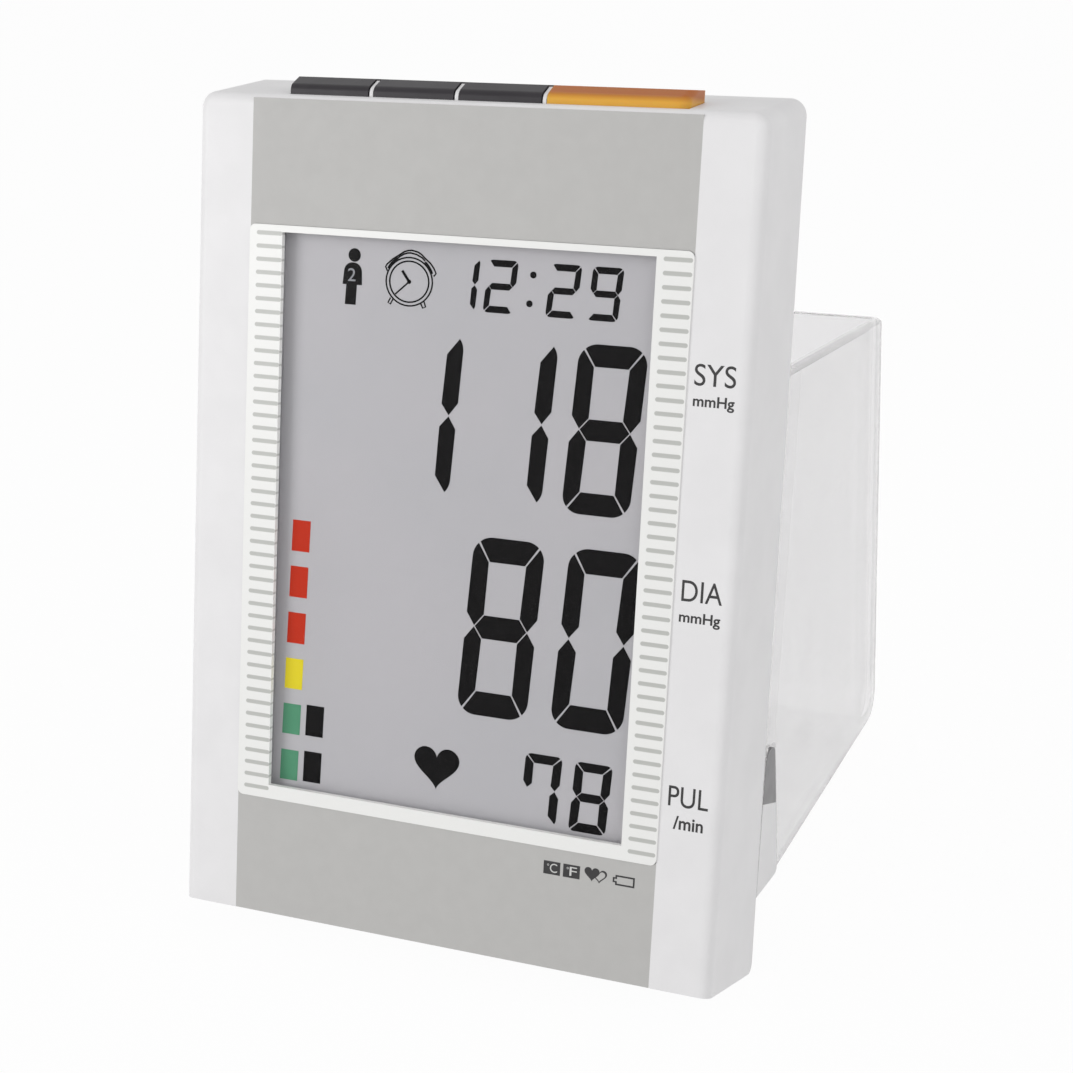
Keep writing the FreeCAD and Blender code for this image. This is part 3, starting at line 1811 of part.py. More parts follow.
# The model leans back on its feet, with the origin below the middle of its bounding box.
lean = Rotation(Vector(1, 0, 0), -math.degrees(math.atan(s.lean_slope.number)))
leaned = Part.makeCompound([item.Shape.copy() for item in nodes.values()])
leaned.Placement = Placement(Vector(), lean)
extent = leaned.optimalBoundingBox(False)
stand = Placement(
    Vector(
        -(extent.XMin + extent.XMax) / 2,
        -(extent.YMin + extent.YMax) / 2,
        -extent.ZMin,
    ),
    lean,
)
print("stand", stand)
print("size", extent.XLength, extent.YLength, extent.ZLength)

os.makedirs("parts", exist_ok=True)
for name, item in nodes.items():
    item.Placement = stand * item.Placement
    item.Shape.exportStep(f"parts/{name}.step")
    print(name, len(item.Shape.Solids), round(item.Shape.Volume, 1))
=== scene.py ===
import bpy
import json
import math
from mathutils import Euler, Matrix, Vector


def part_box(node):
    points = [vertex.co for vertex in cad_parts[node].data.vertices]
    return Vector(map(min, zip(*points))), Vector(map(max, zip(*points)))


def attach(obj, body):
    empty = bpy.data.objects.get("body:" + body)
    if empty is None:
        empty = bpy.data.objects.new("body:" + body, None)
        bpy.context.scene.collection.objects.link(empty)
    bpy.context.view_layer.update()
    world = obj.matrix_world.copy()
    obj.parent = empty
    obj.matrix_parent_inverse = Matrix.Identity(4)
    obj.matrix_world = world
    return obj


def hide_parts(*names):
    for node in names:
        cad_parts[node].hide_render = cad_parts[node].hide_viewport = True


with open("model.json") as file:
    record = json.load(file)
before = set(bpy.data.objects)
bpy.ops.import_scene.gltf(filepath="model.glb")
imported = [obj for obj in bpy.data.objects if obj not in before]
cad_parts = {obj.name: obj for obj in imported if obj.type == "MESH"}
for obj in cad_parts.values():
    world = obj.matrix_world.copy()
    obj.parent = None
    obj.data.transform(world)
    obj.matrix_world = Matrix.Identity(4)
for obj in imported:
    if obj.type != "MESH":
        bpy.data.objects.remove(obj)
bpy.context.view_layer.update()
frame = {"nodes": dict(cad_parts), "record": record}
print("frame loaded")

# Upper-arm blood pressure monitor, leaning back on its feet, with a clear bin behind it.
# The display has a frame of its own in millimetres: x across, y to the rear, z up along its face.
mm = 0.001
display = {
    "slope": 0.1405,                    # how far it leans back, as a slope
    "windowMiddle": (0, 1.4, 84.15),    # middle of the clear window
    "glass": 2.5,                       # depth of the display's glass
    "film": 0.03,                       # what each layer of crystal stands before the glass
    "half": 0.01,                       # half the thickness of a printed shape
}
lean = Matrix.Rotation(-math.atan(display["slope"]), 4, "X")
windowMiddle = sum(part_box("display_window"), Vector()) / 2
shift = Matrix.Translation(windowMiddle - lean @ Vector(display["windowMiddle"]) * mm)
displayToRow = shift @ lean @ Matrix.Scale(mm, 4)


# ---- materials

def linear(hexColour):
    channels = [int(hexColour[at : at + 2], 16) / 255 for at in (1, 3, 5)]
    return [c / 12.92 if c <= 0.04045 else ((c + 0.055) / 1.055) ** 2.4 for c in channels] + [1]


def addNode(tree, kind, inputs=None, **settings):
    node = tree.nodes.new("ShaderNode" + kind)
    for name, value in settings.items():
        setattr(node, name, value)
    for name, value in (inputs or {}).items():
        if isinstance(value, bpy.types.NodeSocket):
            tree.links.new(value, node.inputs[name])
        else:
            node.inputs[name].default_value = value
    return node


def maths(tree, operation, *values):
    return addNode(tree, "Math", dict(enumerate(values)), operation=operation).outputs[0]


def blend(tree, share, first, second):
    node = addNode(tree, "Mix", {"Factor": share}, data_type="RGBA")
    for name, value in ((6, first), (7, second)):
        if isinstance(value, bpy.types.NodeSocket):
            tree.links.new(value, node.inputs[name])
        else:
            node.inputs[name].default_value = linear(value)
    return node.outputs[2]


def show(tree, shader):
    tree.links.new(shader, tree.nodes["Material Output"].inputs["Surface"])


noiseSpread = {"tone": (0.35, 0.65), "wear": (0.3, 0.7)}    # what of the noise makes the whole change


# A surface with a fine grain, patches a shade apart, and patches of more and less polish.
# grain is (size, depth), tone (size, other colour) and wear (size, change of roughness), in mm.
def finish(name, colour, roughness, grain, tone=None, wear=None, **sockets):
    material = bpy.data.materials.new(name)
    material.use_nodes = True
    tree = material.node_tree
    shader = tree.nodes["Principled BSDF"]
    shader.inputs["Base Color"].default_value = linear(colour)
    shader.inputs["Roughness"].default_value = roughness
    for socket, value in sockets.items():
        shader.inputs[socket.replace("_", " ")].default_value = value
    where = addNode(tree, "TexCoord").outputs["Object"]

    def patches(size, detail):
        noise = {"Vector": where, "Scale": 1 / (size * mm), "Detail": detail}
        return addNode(tree, "TexNoise", noise).outputs[0]

    bump = addNode(tree, "Bump", {"Height": patches(grain[0], 3), "Distance": grain[1] * mm})
    tree.links.new(bump.outputs[0], shader.inputs["Normal"])
    if tone:
        low, high = noiseSpread["tone"]
        share = addNode(tree, "MapRange", {"Value": patches(tone[0], 2), "From Min": low, "From Max": high})
        tree.links.new(blend(tree, share.outputs[0], colour, tone[1]), shader.inputs["Base Color"])
    if wear:
        low, high = noiseSpread["wear"]
        polish = {"Value": patches(wear[0], 4), "From Min": low, "From Max": high}
        polish.update({"To Min": roughness - wear[1], "To Max": roughness + wear[1]})
        share = addNode(tree, "MapRange", polish)
        tree.links.new(share.outputs[0], shader.inputs["Roughness"])
    return material


# Position in the display's own frame.
def displayPlace(tree):
    back = displayToRow.inverted()
    place = {"Location": back.to_translation(), "Rotation": back.to_euler(), "Scale": back.to_scale()}
    where = addNode(tree, "TexCoord").outputs["Object"]
    mapping = addNode(tree, "Mapping", {"Vector": where, **place})
    return addNode(tree, "SeparateXYZ", {0: mapping.outputs[0]}).outputs


scale = {
    "white": "#EEEEEC", "grey": "#BCBDB9",
    "pitch": 2.485, "first": 28.95, "thickness": 0.8, "blur": 0.07,
    "left": (-39.7, 2.75), "right": (41.0, 2.7),   # middle and half length of the bars
}


# Glossy white surround, injection moulded, with a printed scale of grey bars down both sides.
def scaledFrame():
    material = finish("whiteFrame", scale["white"], 0.3, (0.6, 0.004))
    tree = material.node_tree
    place = displayPlace(tree)
    along = maths(tree, "SUBTRACT", place["Z"], scale["first"] - scale["pitch"] / 2)
    off = maths(tree, "SUBTRACT", maths(tree, "FLOORED_MODULO", along, scale["pitch"]), scale["pitch"] / 2)
    away = []
    for middle, half in (scale["left"], scale["right"]):
        across = maths(tree, "ABSOLUTE", maths(tree, "SUBTRACT", place["X"], middle))
        past = maths(tree, "MAXIMUM", maths(tree, "SUBTRACT", across, half - scale["thickness"] / 2), 0)
        squares = maths(tree, "MULTIPLY_ADD", past, past, maths(tree, "POWER", off, 2))
        away.append(maths(tree, "SQRT", squares))
    edge = scale["thickness"] / 2
    levels = {"From Min": edge + scale["blur"], "From Max": edge - scale["blur"]}
    printed = addNode(tree, "MapRange", {"Value": maths(tree, "MINIMUM", *away), **levels})
    colour = blend(tree, printed.outputs[0], scale["white"], scale["grey"])
    tree.links.new(colour, tree.nodes["Principled BSDF"].inputs["Base Color"])
    return material


# Polished acrylic sheet, extruded and cut: a faint sheen over what lies behind.
def clearWindow():
    material = finish("acrylicWindow", "#FFFFFF", 0.08, (3.0, 0.002))
    tree = material.node_tree
    clear = addNode(tree, "BsdfTransparent", {"Color": linear("#FAFAFA")}).outputs[0]
    sheen = addNode(tree, "BsdfGlossy", {"Roughness": 0.1}).outputs[0]
    edge = addNode(tree, "Fresnel", {"IOR": 1.08}).outputs[0]
    show(tree, addNode(tree, "MixShader", {0: edge, 1: clear, 2: sheen}).outputs[0])
    return material


# Clear polystyrene, injection moulded: polished faces with a trace of milkiness.
def clearStyrene():
    bulk = {"IOR": 1.45, "Transmission_Weight": 1}
    material = finish("clearStyrene", "#F1F0F1", 0.06, (12.0, 0.02), wear=(20, 0.03), **bulk)
    tree = material.node_tree
    plastic = tree.nodes["Principled BSDF"].outputs[0]
    haze = addNode(tree, "BsdfDiffuse", {"Color": linear("#E2E0E1")}).outputs[0]
    milky = addNode(tree, "MixShader", {0: 0.13, 1: plastic, 2: haze}).outputs[0]
    light = addNode(tree, "BsdfTransparent").outputs[0]
    shadow = addNode(tree, "LightPath").outputs["Is Shadow Ray"]
    share = addNode(tree, "MapRange", {"Value": shadow, "To Min": 0.25, "To Max": 0.9}).outputs[0]
    show(tree, addNode(tree, "MixShader", {0: share, 1: milky, 2: light}).outputs[0])
    return material


# body is the cap's own amber; the front colour is a painted glow and the upper face's colour is painted
# shade.
amber = {"body": "#D08A35", "front": "#E2AA48", "top": "#B46A34", "fold": (165.2, 166.5)}


# Tinted polycarbonate cap, moulded, with painted light: a painted glow along its front face and painted shade
# over its upper face.
def amberCap():
    material = finish(
        "amberPolycarbonate", amber["body"], 0.34, (1.2, 0.006), Specular_IOR_Level=0.1,
        IOR=1.58, Subsurface_Weight=0.3, Subsurface_Scale=4 * mm, Subsurface_Radius=(1, 0.45, 0.12),
    )
    tree = material.node_tree
    low, high = amber["fold"]
    # painted light: blends from the painted glow of the front face to the painted shade of the upper face
    # across the fold.
    paintedShadeShare = addNode(tree, "MapRange", {"Value": displayPlace(tree)["Z"], "From Min": low, "From Max": high})
    colour = blend(tree, paintedShadeShare.outputs[0], amber["front"], amber["top"])
    tree.links.new(colour, tree.nodes["Principled BSDF"].inputs["Base Color"])
    return material


# Glass-epoxy board under green solder mask, with its copper tracks a shade paler.
def solderMask():
    material = finish("solderMask", "#1F5A38", 0.35, (0.5, 0.01))
    tree = material.node_tree
    where = addNode(tree, "TexCoord").outputs["Object"]
    colours = {"Color1": linear("#1D5535"), "Color2": linear("#22613D"), "Mortar": linear("#3A7D52")}
    tracks = addNode(tree, "TexBrick", {"Vector": where, "Scale": 125, "Mortar Size": 0.03, **colours})
    tree.links.new(tracks.outputs["Color"], tree.nodes["Principled BSDF"].inputs["Base Color"])
    return material


finishes = {
    # spark-eroded ABS, injection moulded
    "white_case": finish("whiteAbs", "#E6E5E6", 0.46, (0.5, 0.01), (9, "#E9E8E9"), (14, 0.05)),
    # matt polycarbonate sheet, screen printed and die cut
    "grey_inlay": finish("printedSheet", "#B8B7B5", 0.55, (0.4, 0.006), (3, "#BAB9B7"), (8, 0.04)),
    "white_frame": scaledFrame(),
    "clear_lens": clearWindow(),
    # polariser over a pale liquid crystal cell
    "lcd_glass": finish("lcdGlass", "#D1CFD3", 0.4, (0.5, 0.003), (30, "#CECDD1"), Specular_IOR_Level=0.2),
    # unpigmented ABS, moulded
    "natural_plastic": finish("naturalAbs", "#D6D5CC", 0.5, (0.35, 0.012), (9, "#E0DFD8"), (14, 0.05)),
    # layered silicone strip, sliced
    "elastomer": finish("stripElastomer", "#B8B8BC", 0.8, (0.6, 0.02), (1, "#CFCFD2")),
    "circuit_board": solderMask(),
    # nickel-plated steel, cold headed or drawn
    "plated_steel": finish("nickelledSteel", "#B6B8BA", 0.3, (0.4, 0.004), wear=(3, 0.08), Metallic=1),
    # transfer-moulded epoxy
    "black_epoxy": finish("mouldedEpoxy", "#1E1E20", 0.6, (0.3, 0.012), (4, "#28282B"), (6, 0.05)),
    # glass-filled nylon, moulded
    "black_plastic": finish("blackNylon", "#242426", 0.5, (0.35, 0.012), (6, "#303032"), (9, 0.05)),
    # deep-drawn aluminium
    "aluminium_can": finish("drawnAluminium", "#C4C6C9", 0.35, (0.4, 0.004), wear=(3, 0.08), Metallic=1),
    # satin ABS, moulded
    "dark_key": finish(
        "satinAbs", "#2B282C", 0.36, (0.4, 0.006), (5, "#302D31"), (6, 0.04), Specular_IOR_Level=0.26,
    ),
    "amber_key": amberCap(),
    # sintered ferrite, ground
    "ferrite": finish("sinteredFerrite", "#2E2C2C", 0.7, (0.5, 0.03), (2, "#433F3F"), (3, 0.05)),
    # enamelled copper wire, wound
    "motor_copper": finish("woundCopper", "#B0703C", 0.35, (0.3, 0.02), wear=(2, 0.08), Metallic=1),
    # silicone rubber, pressed
    "dark_rubber": finish("greySilicone", "#8E8D8E", 0.7, (0.6, 0.02), (4, "#969596"), (6, 0.05)),
    # silicone hose, extruded
    "clear_tube": finish("siliconeHose", "#D2D4D0", 0.4, (0.4, 0.01), (5, "#E2E3E0"), (6, 0.05)),
    # grey nylon, moulded
    "socket_grey": finish("greyNylon", "#818286", 0.5, (0.35, 0.012), (4, "#909195"), (6, 0.05)),
    # printed and shrunk polyester sleeve
    "cell_sleeve": finish("cellSleeve", "#28466F", 0.25, (0.8, 0.006), (12, "#34588A"), (9, 0.04)),
    # nickel-plated spring steel, wound or stamped
    "nickel_contact": finish("springNickel", "#C8C8C4", 0.22, (0.4, 0.004), wear=(3, 0.06), Metallic=1),
    "clear_bin": clearStyrene(),
}
slots = {part["node"]: part["material_slot"] for part in frame["record"]["subparts"]}
for node, piece in frame["nodes"].items():
    piece.data.materials.clear()
    piece.data.materials.append(finishes[slots[node]])
print("materials on", len(slots), "pieces of the frame")


# ---- flat shapes on the display and on the case

def arc(x, y, radius, start, end, steps=10):
    turns = [math.radians(start + (end - start) * step / steps) for step in range(steps + 1)]
    return [(x + radius * math.cos(turn), y + radius * math.sin(turn)) for turn in turns]


def disc(x, y, radius):
    return arc(x, y, radius, 0, 350, 35)


def block(left, low, right, high, slant=0):
    lean = slant * (high - low)
    return [(left, low), (right, low), (right + lean, high), (left + lean, high)]


# An open line given a width.
def stroke(points, width):
    sides = []
    for at, (x, y) in enumerate(points):
        before, after = Vector(points[max(at - 1, 0)]), Vector(points[min(at + 1, len(points) - 1)])
        away = (after - before).orthogonal().normalized() * width / 2
        sides.append(((x + away.x, y + away.y), (x - away.x, y - away.y)))
    return [side[0] for side in sides] + [side[1] for side in reversed(sides)]


# Makes a mesh of a flat curve or text and stands it at a depth in the display's frame.
def standUp(name, data, depth, material, fit=None):
    piece = bpy.data.objects.new(name, data)
    bpy.context.collection.objects.link(piece)
    bpy.ops.object.select_all(action="DESELECT")
    piece.select_set(True)
    bpy.context.view_layer.objects.active = piece
    bpy.ops.object.convert(target="MESH")
    piece = bpy.context.active_object
    if fit:                             # stretched to fill (left, low, right, high)
        xs, ys = zip(*[(v.co.x, v.co.y) for v in piece.data.vertices])
        wide, tall = (fit[2] - fit[0]) / (max(xs) - min(xs)), (fit[3] - fit[1]) / (max(ys) - min(ys))
        start = Matrix.Translation((fit[0] - min(xs) * wide, fit[1] - min(ys) * tall, 0))
        piece.data.transform(start @ Matrix.Diagonal((wide, tall, 1, 1)))
    upright = Matrix.Translation((0, depth, 0)) @ Matrix.Rotation(math.pi / 2, 4, "X")
    piece.data.transform(displayToRow @ upright)
    piece.data.materials.clear()
    piece.data.materials.append(material)
    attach(piece, "unit")


def flatPiece(name, outlines, depth, material):
    curve = bpy.data.curves.new(name, "CURVE")
    curve.dimensions = "2D"
    curve.fill_mode = "BOTH"
    curve.extrude = display["half"]
    for outline in outlines:
        spline = curve.splines.new("POLY")
        spline.points.add(len(outline) - 1)
        for point, place in zip(spline.points, outline):
            point.co = (*place, 0, 1)
        spline.use_cyclic_u = True
    standUp(name, curve, depth, material)


def lettering(name, words, box, depth, material, bold=0):
    text = bpy.data.curves.new(name, "FONT")
    text.body = words
    text.offset = bold
    text.extrude = display["half"]
    standUp(name, text, depth, material, box)


# Liquid crystal seen through the polariser: it has no sheen of its own.
def crystal(name, colour):
    return finish(name, colour, 0.6, (0.3, 0.002), (2, colour), Specular_IOR_Level=0.1)


darkCrystal = crystal("darkCrystal", "#131213")
inFilm = display["glass"] - display["film"]


# ---- digits

segments = {
    "0": "abcdef", "1": "bc", "2": "abdeg", "7": "abcf", "8": "abcdefg", "9": "abcdfg",
}
cuts = {                                # as shares of the corner, the stroke, the bar and the gap
    "miter": 0.29, "notch": 0.75, "middle": 0.48, "slit": 1.5,
    "uprightTurn": (142, 180), "levelTurn": (126, 90),
}
colon = ((12.95, 133.7, 0.62), (12.45, 128.45, 0.62))
timeSize = {
    "width": 5.9, "height": 9.7, "bar": 1.25, "stroke": 1.15, "corner": 1.0, "gap": 0.06, "slant": 0.085,
}
bigSize = {
    "width": 13.2, "height": 31.4, "bar": 4.1, "stroke": 3.3, "corner": 3.6, "gap": 0.11, "slant": 0.065,
}
lowSize = {
    "width": 14.3, "height": 34.7, "bar": 4.7, "stroke": 3.5, "corner": 3.8, "gap": 0.12, "slant": 0.065,
}
pulseSize = {
    "width": 7.4, "height": 13.7, "bar": 1.8, "stroke": 1.8, "corner": 1.2, "gap": 0.08, "slant": 0.06,
}
readings = {
    "timeDigits": (timeSize, [("1", -4.2, 126.3), ("2", 3.3, 126.3), ("2", 15.6, 126.3), ("9", 23.6, 126.3)]),
    "systolicDigits": (bigSize, [("1", -15.2, 90.8), ("1", 3.4, 90.8), ("8", 20.6, 90.7)]),
    "diastolicDigits": (lowSize, [("8", 1.5, 49.7), ("0", 20.6, 49.7)]),
    "pulseDigits": (pulseSize, [("7", 15.4, 30.2), ("8", 25.4, 30.0)]),
}


# The seven segments share one corner shape, which is mirrored left to right and top to bottom.
def digitShapes(digit, left, low, width, height, bar, stroke, corner, gap, slant):
    half = height / 2
    miter = corner * cuts["miter"]
    tip = stroke / 2
    slit = gap * cuts["slit"]
    upright = [(stroke - gap, height - bar - gap), (miter - gap, height - miter - slit)]
    upright += arc(corner, height - corner, corner, *cuts["uprightTurn"], 5)
    upright += [(0, half + stroke * cuts["notch"]), (tip, half + gap), (stroke, half + bar / 2 + gap)]
    level = [(stroke + gap, height - bar), (miter + slit, height - miter + gap)]
    level += arc(corner, height - corner, corner, *cuts["levelTurn"], 5)
    level += [(width - x, y) for x, y in reversed(level)]
    thick = bar * cuts["middle"]
    middle = [(stroke + gap, half + thick), (tip + slit, half), (stroke + gap, half - thick)]
    middle += [(width - x, y) for x, y in reversed(middle)]
    shapes = {
        "a": level, "d": [(x, height - y) for x, y in level], "g": middle,
        "f": upright, "b": [(width - x, y) for x, y in upright],
        "e": [(x, height - y) for x, y in upright], "c": [(width - x, height - y) for x, y in upright],
    }
    return [[(left + x + slant * y, low + y) for x, y in shapes[name]] for name in segments[digit]]


for name, (size, digits) in readings.items():
    outlines = [shape for digit in digits for shape in digitShapes(*digit, **size)]
    if name == "timeDigits":
        outlines += [disc(*dot) for dot in colon]
    flatPiece(name, outlines, inFilm, darkCrystal)
print("digits drawn")


# ---- icons of the display

person = {
    "x": -23.35, "low": 125.8, "hip": 129.55, "shoulder": 132.0, "round": 1.7, "apart": 0.15,
    # left and right of the person's middle
    "feet": (-1.5, 0.75), "waist": (-1.3, 0.9), "coat": (-2.1, 1.95), "head": (0.25, 135.1, 1.27),
    "number": (-24.35, 130.2, -22.75, 132.6),
}
clock = {
    "middle": (-11.7, 130.85),
    "rings": (4.87, 4.57, 4.15, 3.84), "flat": 0.95, "line": 0.3,
    "shoulders": (4.88, 0.5, ((21, 51), (120, 153))),   # radius, thickness, turns
    # from the middle, as (x, y) across and up
    "bell": [(-4.53, 1.75), (-4.92, 2.5), (-4.66, 2.97), (-3.5, 4.0), (-2.48, 4.64), (-1.2, 5.48),
             (-0.45, 5.73), (0.33, 5.83), (1.61, 5.57), (2.35, 5.15), (3.02, 4.55), (4.18, 3.66),
             (4.94, 2.73), (5.4, 1.84), (4.94, 1.28)],
    "handle": [(-2.45, 4.2), (-2.1, 4.55), (-1.2, 5.06), (-0.55, 5.27), (0.08, 5.34), (1.36, 5.11),
               (2.51, 4.55), (3.07, 4.01)],
    "hourHand": (0.52, (-1.5, 1.98)), "minuteHand": (0.3, (-2.74, -2.45)),
    "feet": [[(-3.7, -3.2), (-4.19, -4.13), (-3.69, -4.4), (-3.17, -3.4)],
             [(2.47, -3.75), (2.94, -4.7), (3.52, -4.45), (3.14, -3.4)]],
    "footLine": 0.28, "hub": 0.8,
}
heart = {"x": -2.1, "y": 37.75, "width": 9.5, "height": 8.4}
levels = {"left": -34.7, "width": 3.85, "height": 6.2, "slant": 0.027, "mark": 5.1, "lift": (0.2, 0.3)}
red, yellow, green = "#D83C25", "#FFEC38", "#63A683"
levelRows = ((77.1, red), (67.9, red), (58.6, red), (49.3, yellow), (40.0, green), (30.5, green))


def personShapes():
    x, low, hip, shoulder = (person[name] for name in ("x", "low", "hip", "shoulder"))
    feet, waist, coat = (person[name] for name in ("feet", "waist", "coat"))
    across, up, radius = person["head"]
    body = [(x + feet[0], low), (x + feet[1], low), (x + waist[1], hip), (x + coat[1], hip)]
    body += arc(x + person["apart"], shoulder, person["round"], 0, 90, 8)
    body += arc(x - person["apart"], shoulder, person["round"], 90, 180, 8)
    body += [(x + coat[0], hip), (x + waist[0], hip)]
    return [body, disc(x + across, up, radius)]


# The outlines of the alarm clock, each list a piece of its own because they overlap.
def clockShapes():
    x, y = clock["middle"]
    radius, thickness, turns = clock["shoulders"]
    rings = [disc(0, 0, ring) for ring in clock["rings"]]
    shapes = {"Rings": [[(x + a, y + b * clock["flat"]) for a, b in ring] for ring in rings]}
    shapes["Shoulders"] = [stroke(arc(x, y, radius, *turn), thickness) for turn in turns]
    for part in ("bell", "handle"):
        line = [(x + across, y + up) for across, up in clock[part]]
        shapes[part.title()] = [stroke(line, clock["line"])]
    for part in ("hourHand", "minuteHand"):
        width, (across, up) = clock[part]
        shapes[part] = [stroke([(x, y), (x + across, y + up)], width)]
    feet = [[(x + across, y + up) for across, up in foot] for foot in clock["feet"]]
    shapes["Feet"] = [stroke(foot, clock["footLine"]) for foot in feet]
    shapes["Hub"] = [disc(x, y, clock["hourHand"][0] * clock["hub"])]
    return shapes


def heartShape(x, y, width, height):
    turns = [2 * math.pi * step / 48 for step in range(48)]
    across = [math.sin(turn) ** 3 / 2 for turn in turns]
    waves = ((13, 1), (-5, 2), (-2, 3), (-1, 4))
    up = [(sum(size * math.cos(rate * turn) for size, rate in waves) + 2.6) / 29 for turn in turns]
    return [(x + width * a, y + height * b) for a, b in zip(across, up)]


flatPiece("personIcon", personShapes(), inFilm, darkCrystal)
paleCrystal = crystal("paleCrystal", "#A9AAB0")
lettering("userNumber", "2", person["number"], inFilm - display["film"], paleCrystal)
for part, outlines in clockShapes().items():
    flatPiece("clock" + part, outlines, inFilm, darkCrystal)
flatPiece("heartIcon", [heartShape(**heart)], inFilm, darkCrystal)
for row, (low, colour) in enumerate(levelRows):
    left = levels["left"] + levels["slant"] * (low - levelRows[0][0])
    bar = block(left, low, left + levels["width"], low + levels["height"], levels["slant"])
    flatPiece(f"levelBar{row}", [bar], inFilm, crystal(f"levelFilm{row}", colour))
    if row > 3:
        right = left + levels["mark"]
        low, high = low + levels["lift"][0], low + levels["lift"][1] + levels["height"]
        mark = block(right, low, right + levels["width"], high, levels["slant"])
        flatPiece(f"levelMark{row}", [mark], inFilm, darkCrystal)
print("display icons drawn")


# ---- printing on the case and on the lower sheet

# pad-printed ink
ink = finish("blackInk", "#222122", 0.5, (0.3, 0.003), (2.5, "#282728"))
paleInk = finish("paleInk", "#CFCFCD", 0.5, (0.3, 0.003), (2.5, "#C9C9C7"))
labels = [
    ("SYS", (45.2, 116.5, 52.8, 120.4), 0), ("mmHg", (45.2, 112.2, 52.8, 114.8), 0.02),
    ("DIA", (45.4, 77.5, 53.0, 81.4), 0), ("mmHg", (45.2, 73.0, 52.9, 75.6), 0.02),
    ("PUL", (45.4, 38.9, 53.0, 42.8), 0), ("/min", (46.6, 34.6, 52.3, 37.2), 0.02),
]
onPlastic = -0.012
for number, (words, box, bold) in enumerate(labels):
    lettering(f"label{number}", words, box, onPlastic, ink, bold)

units = {
    "low": 21.6, "high": 24.2, "width": 3.35, "left": {"C": 21.8, "F": 25.75},
    "letter": (1.3, 0.42, 2.75, 2.2), "degree": (0.7, 1.65, 1.1, 2.05),   # in the square
}
for words, left in units["left"].items():
    low = units["low"]
    square = block(left, low, left + units["width"], units["high"])
    flatPiece("unitSquare" + words, [square], onPlastic, ink)
    for name, mark in (("letter", words), ("degree", "°")):
        box = units[name]
        box = (left + box[0], low + box[1], left + box[2], low + box[3])
        lettering(f"unit{words}{name}", mark, box, onPlastic * 2, paleInk)
hearts = {"front": (31.5, 23.0, 3.0, 2.75), "behind": (33.0, 22.8, 3.0, 2.7), "line": 0.36}
x, y, *outer = hearts["behind"]
inner = [size - hearts["line"] * 2 for size in outer]
flatPiece("sheetHeartBehind", [heartShape(x, y, *outer), heartShape(x, y, *inner)], onPlastic, ink)
flatPiece("sheetHeart", [heartShape(*hearts["front"])], onPlastic * 1.5, ink)
battery = {
    "middle": 22.8, "line": 0.32, "right": 39.95, "left": 36.15, "tip": 35.65,
    "half": 1.0, "tipHalf": 0.5, "tipLine": 0.9,
}


# The outline of a lying cell, drawn in by the thickness of its line.
def batteryShape(inset):
    left, tip, right = battery["left"] + inset, battery["tip"] + inset, battery["right"] - inset
    half, tipHalf = battery["half"] - inset, battery["tipHalf"] - inset * battery["tipLine"]
    upper = [(tip, tipHalf), (left, tipHalf), (left, half), (right, half)]
    lower = [(across, -up) for across, up in reversed(upper)]
    return [(across, battery["middle"] + up) for across, up in upper + lower]


flatPiece("batteryIcon", [batteryShape(0), batteryShape(battery["line"])], onPlastic, ink)
print("printing done")


# ---- bin

binShell = {"merge": 0.01, "edge": 0.25, "steps": 2, "sharp": 35}   # mm, mm, facets, degrees


# The bin as moulded: the same walls with their sharp edges broken.
def brokenEdges():
    moulded = frame["nodes"]["storage_bin"]
    piece = bpy.data.objects.new("binShell", moulded.data.copy())
    bpy.context.collection.objects.link(piece)
    bpy.ops.object.select_all(action="DESELECT")
    piece.select_set(True)
    bpy.context.view_layer.objects.active = piece
    bpy.ops.object.mode_set(mode="EDIT")
    bpy.ops.mesh.select_all(action="SELECT")
    bpy.ops.mesh.remove_doubles(threshold=binShell["merge"] * mm)
    bpy.ops.mesh.tris_convert_to_quads()
    bpy.ops.object.mode_set(mode="OBJECT")
    edges = piece.modifiers.new("edges", "BEVEL")
    edges.width = binShell["edge"] * mm
    edges.segments = binShell["steps"]
    edges.angle_limit = math.radians(binShell["sharp"])
    bpy.ops.object.modifier_apply(modifier=edges.name)
    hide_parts("storage_bin")
    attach(piece, "bin")


brokenEdges()
print("bin made")


# ---- room

room = {"floor": 14.0, "floorGlow": 0.96, "sky": 0.55}
lamps = {
    "keySoftbox": {"place": (-0.75, -0.9, 0.35), "size": 0.6, "power": 4.9},
    "fillSoftbox": {"place": (0.9, -0.5, 0.6), "size": 1.0, "power": 2.9},
}
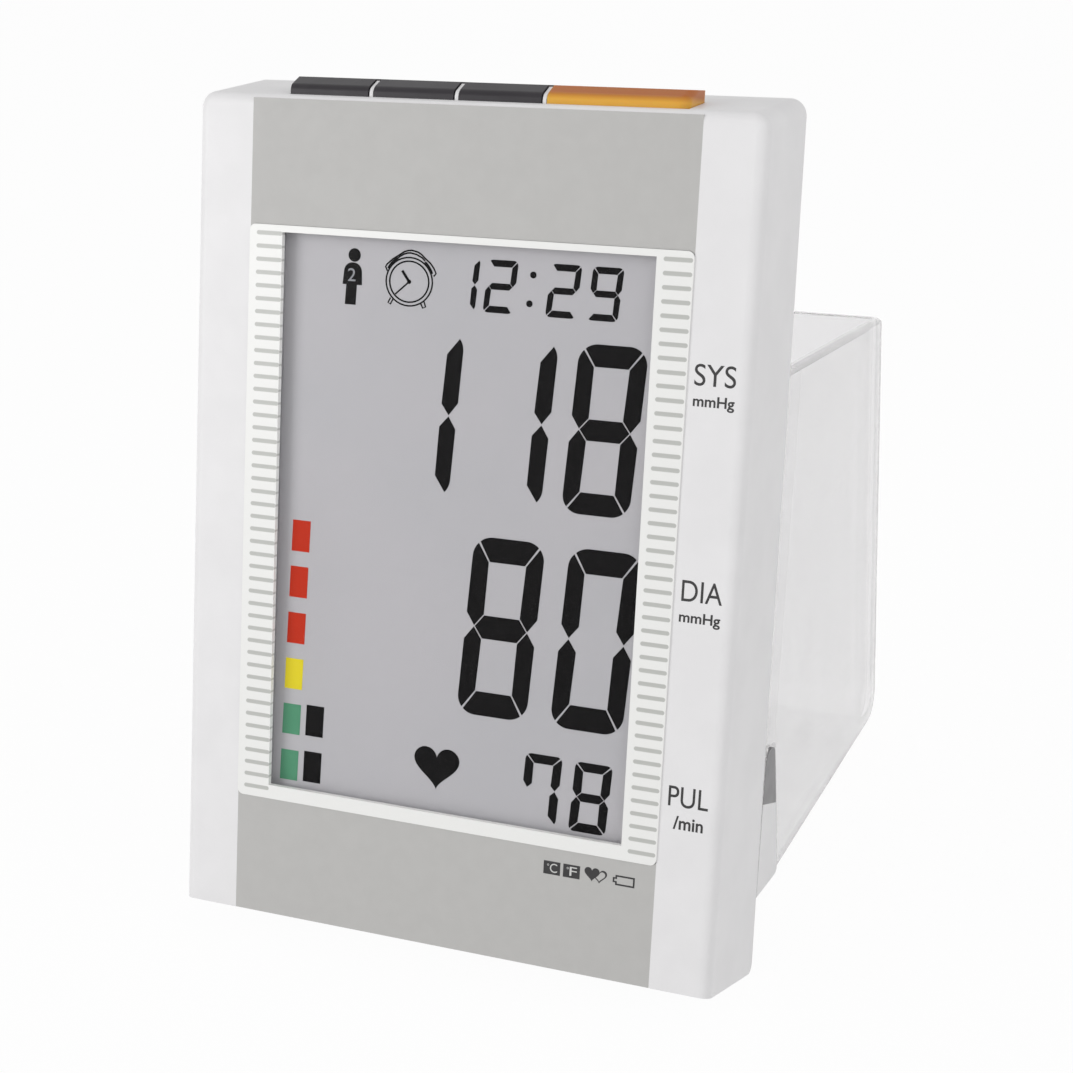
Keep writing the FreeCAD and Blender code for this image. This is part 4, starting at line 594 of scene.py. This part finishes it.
# place in mm and turn in degrees, both in the display's frame
camera = {"place": (139.47, -332.67, 152.68), "turn": (79.35, -2.831, 20.74), "lens": 65.592}
lookAt = Vector((0, -0.04, 0.09))


# 1 for what the camera sees, whether straight, mirrored or through clear plastic.
def seen(tree):
    path = addNode(tree, "LightPath").outputs
    straight = maths(tree, "MAXIMUM", path["Is Camera Ray"], path["Is Glossy Ray"])
    return maths(tree, "MAXIMUM", straight, path["Is Transmission Ray"])


def makeFloor():
    bpy.ops.mesh.primitive_plane_add(size=room["floor"])
    floor = bpy.context.active_object
    floor.name = "floor"
    material = finish("paleFloor", "#F4F4F4", 0.9, (4.0, 0.01), Specular_IOR_Level=0)
    tree = material.node_tree
    glow = addNode(tree, "Emission", {"Strength": 1.0})
    share = maths(tree, "MULTIPLY", seen(tree), room["floorGlow"])
    paper = tree.nodes["Principled BSDF"].outputs[0]
    show(tree, addNode(tree, "MixShader", {0: share, 1: paper, 2: glow.outputs[0]}).outputs[0])
    floor.data.materials.append(material)


def makeSky():
    world = bpy.data.worlds.new("studio")
    bpy.context.scene.world = world
    world.use_nodes = True
    tree = world.node_tree
    sky = tree.nodes["Background"]
    sky.inputs["Color"].default_value = (1, 1, 1, 1)
    level = addNode(tree, "MapRange", {"Value": seen(tree), "To Min": room["sky"], "To Max": 1})
    tree.links.new(level.outputs[0], sky.inputs["Strength"])


makeFloor()
makeSky()
for name, lamp in lamps.items():
    bpy.ops.object.light_add(type="AREA", location=lamp["place"])
    light = bpy.context.active_object
    light.name = name
    light.data.size = lamp["size"]
    light.data.energy = lamp["power"]
    light.rotation_euler = (lookAt - light.location).to_track_quat("-Z", "Y").to_euler()
turned = Euler([math.radians(turn) for turn in camera["turn"]]).to_matrix().to_4x4()
bpy.ops.object.camera_add(location=displayToRow @ Vector(camera["place"]))
eye = bpy.context.active_object
eye.rotation_euler = (lean @ turned).to_euler()
eye.data.lens = camera["lens"]
bpy.context.scene.camera = eye
bpy.context.scene.view_settings.view_transform = "Standard"
print("room ready")
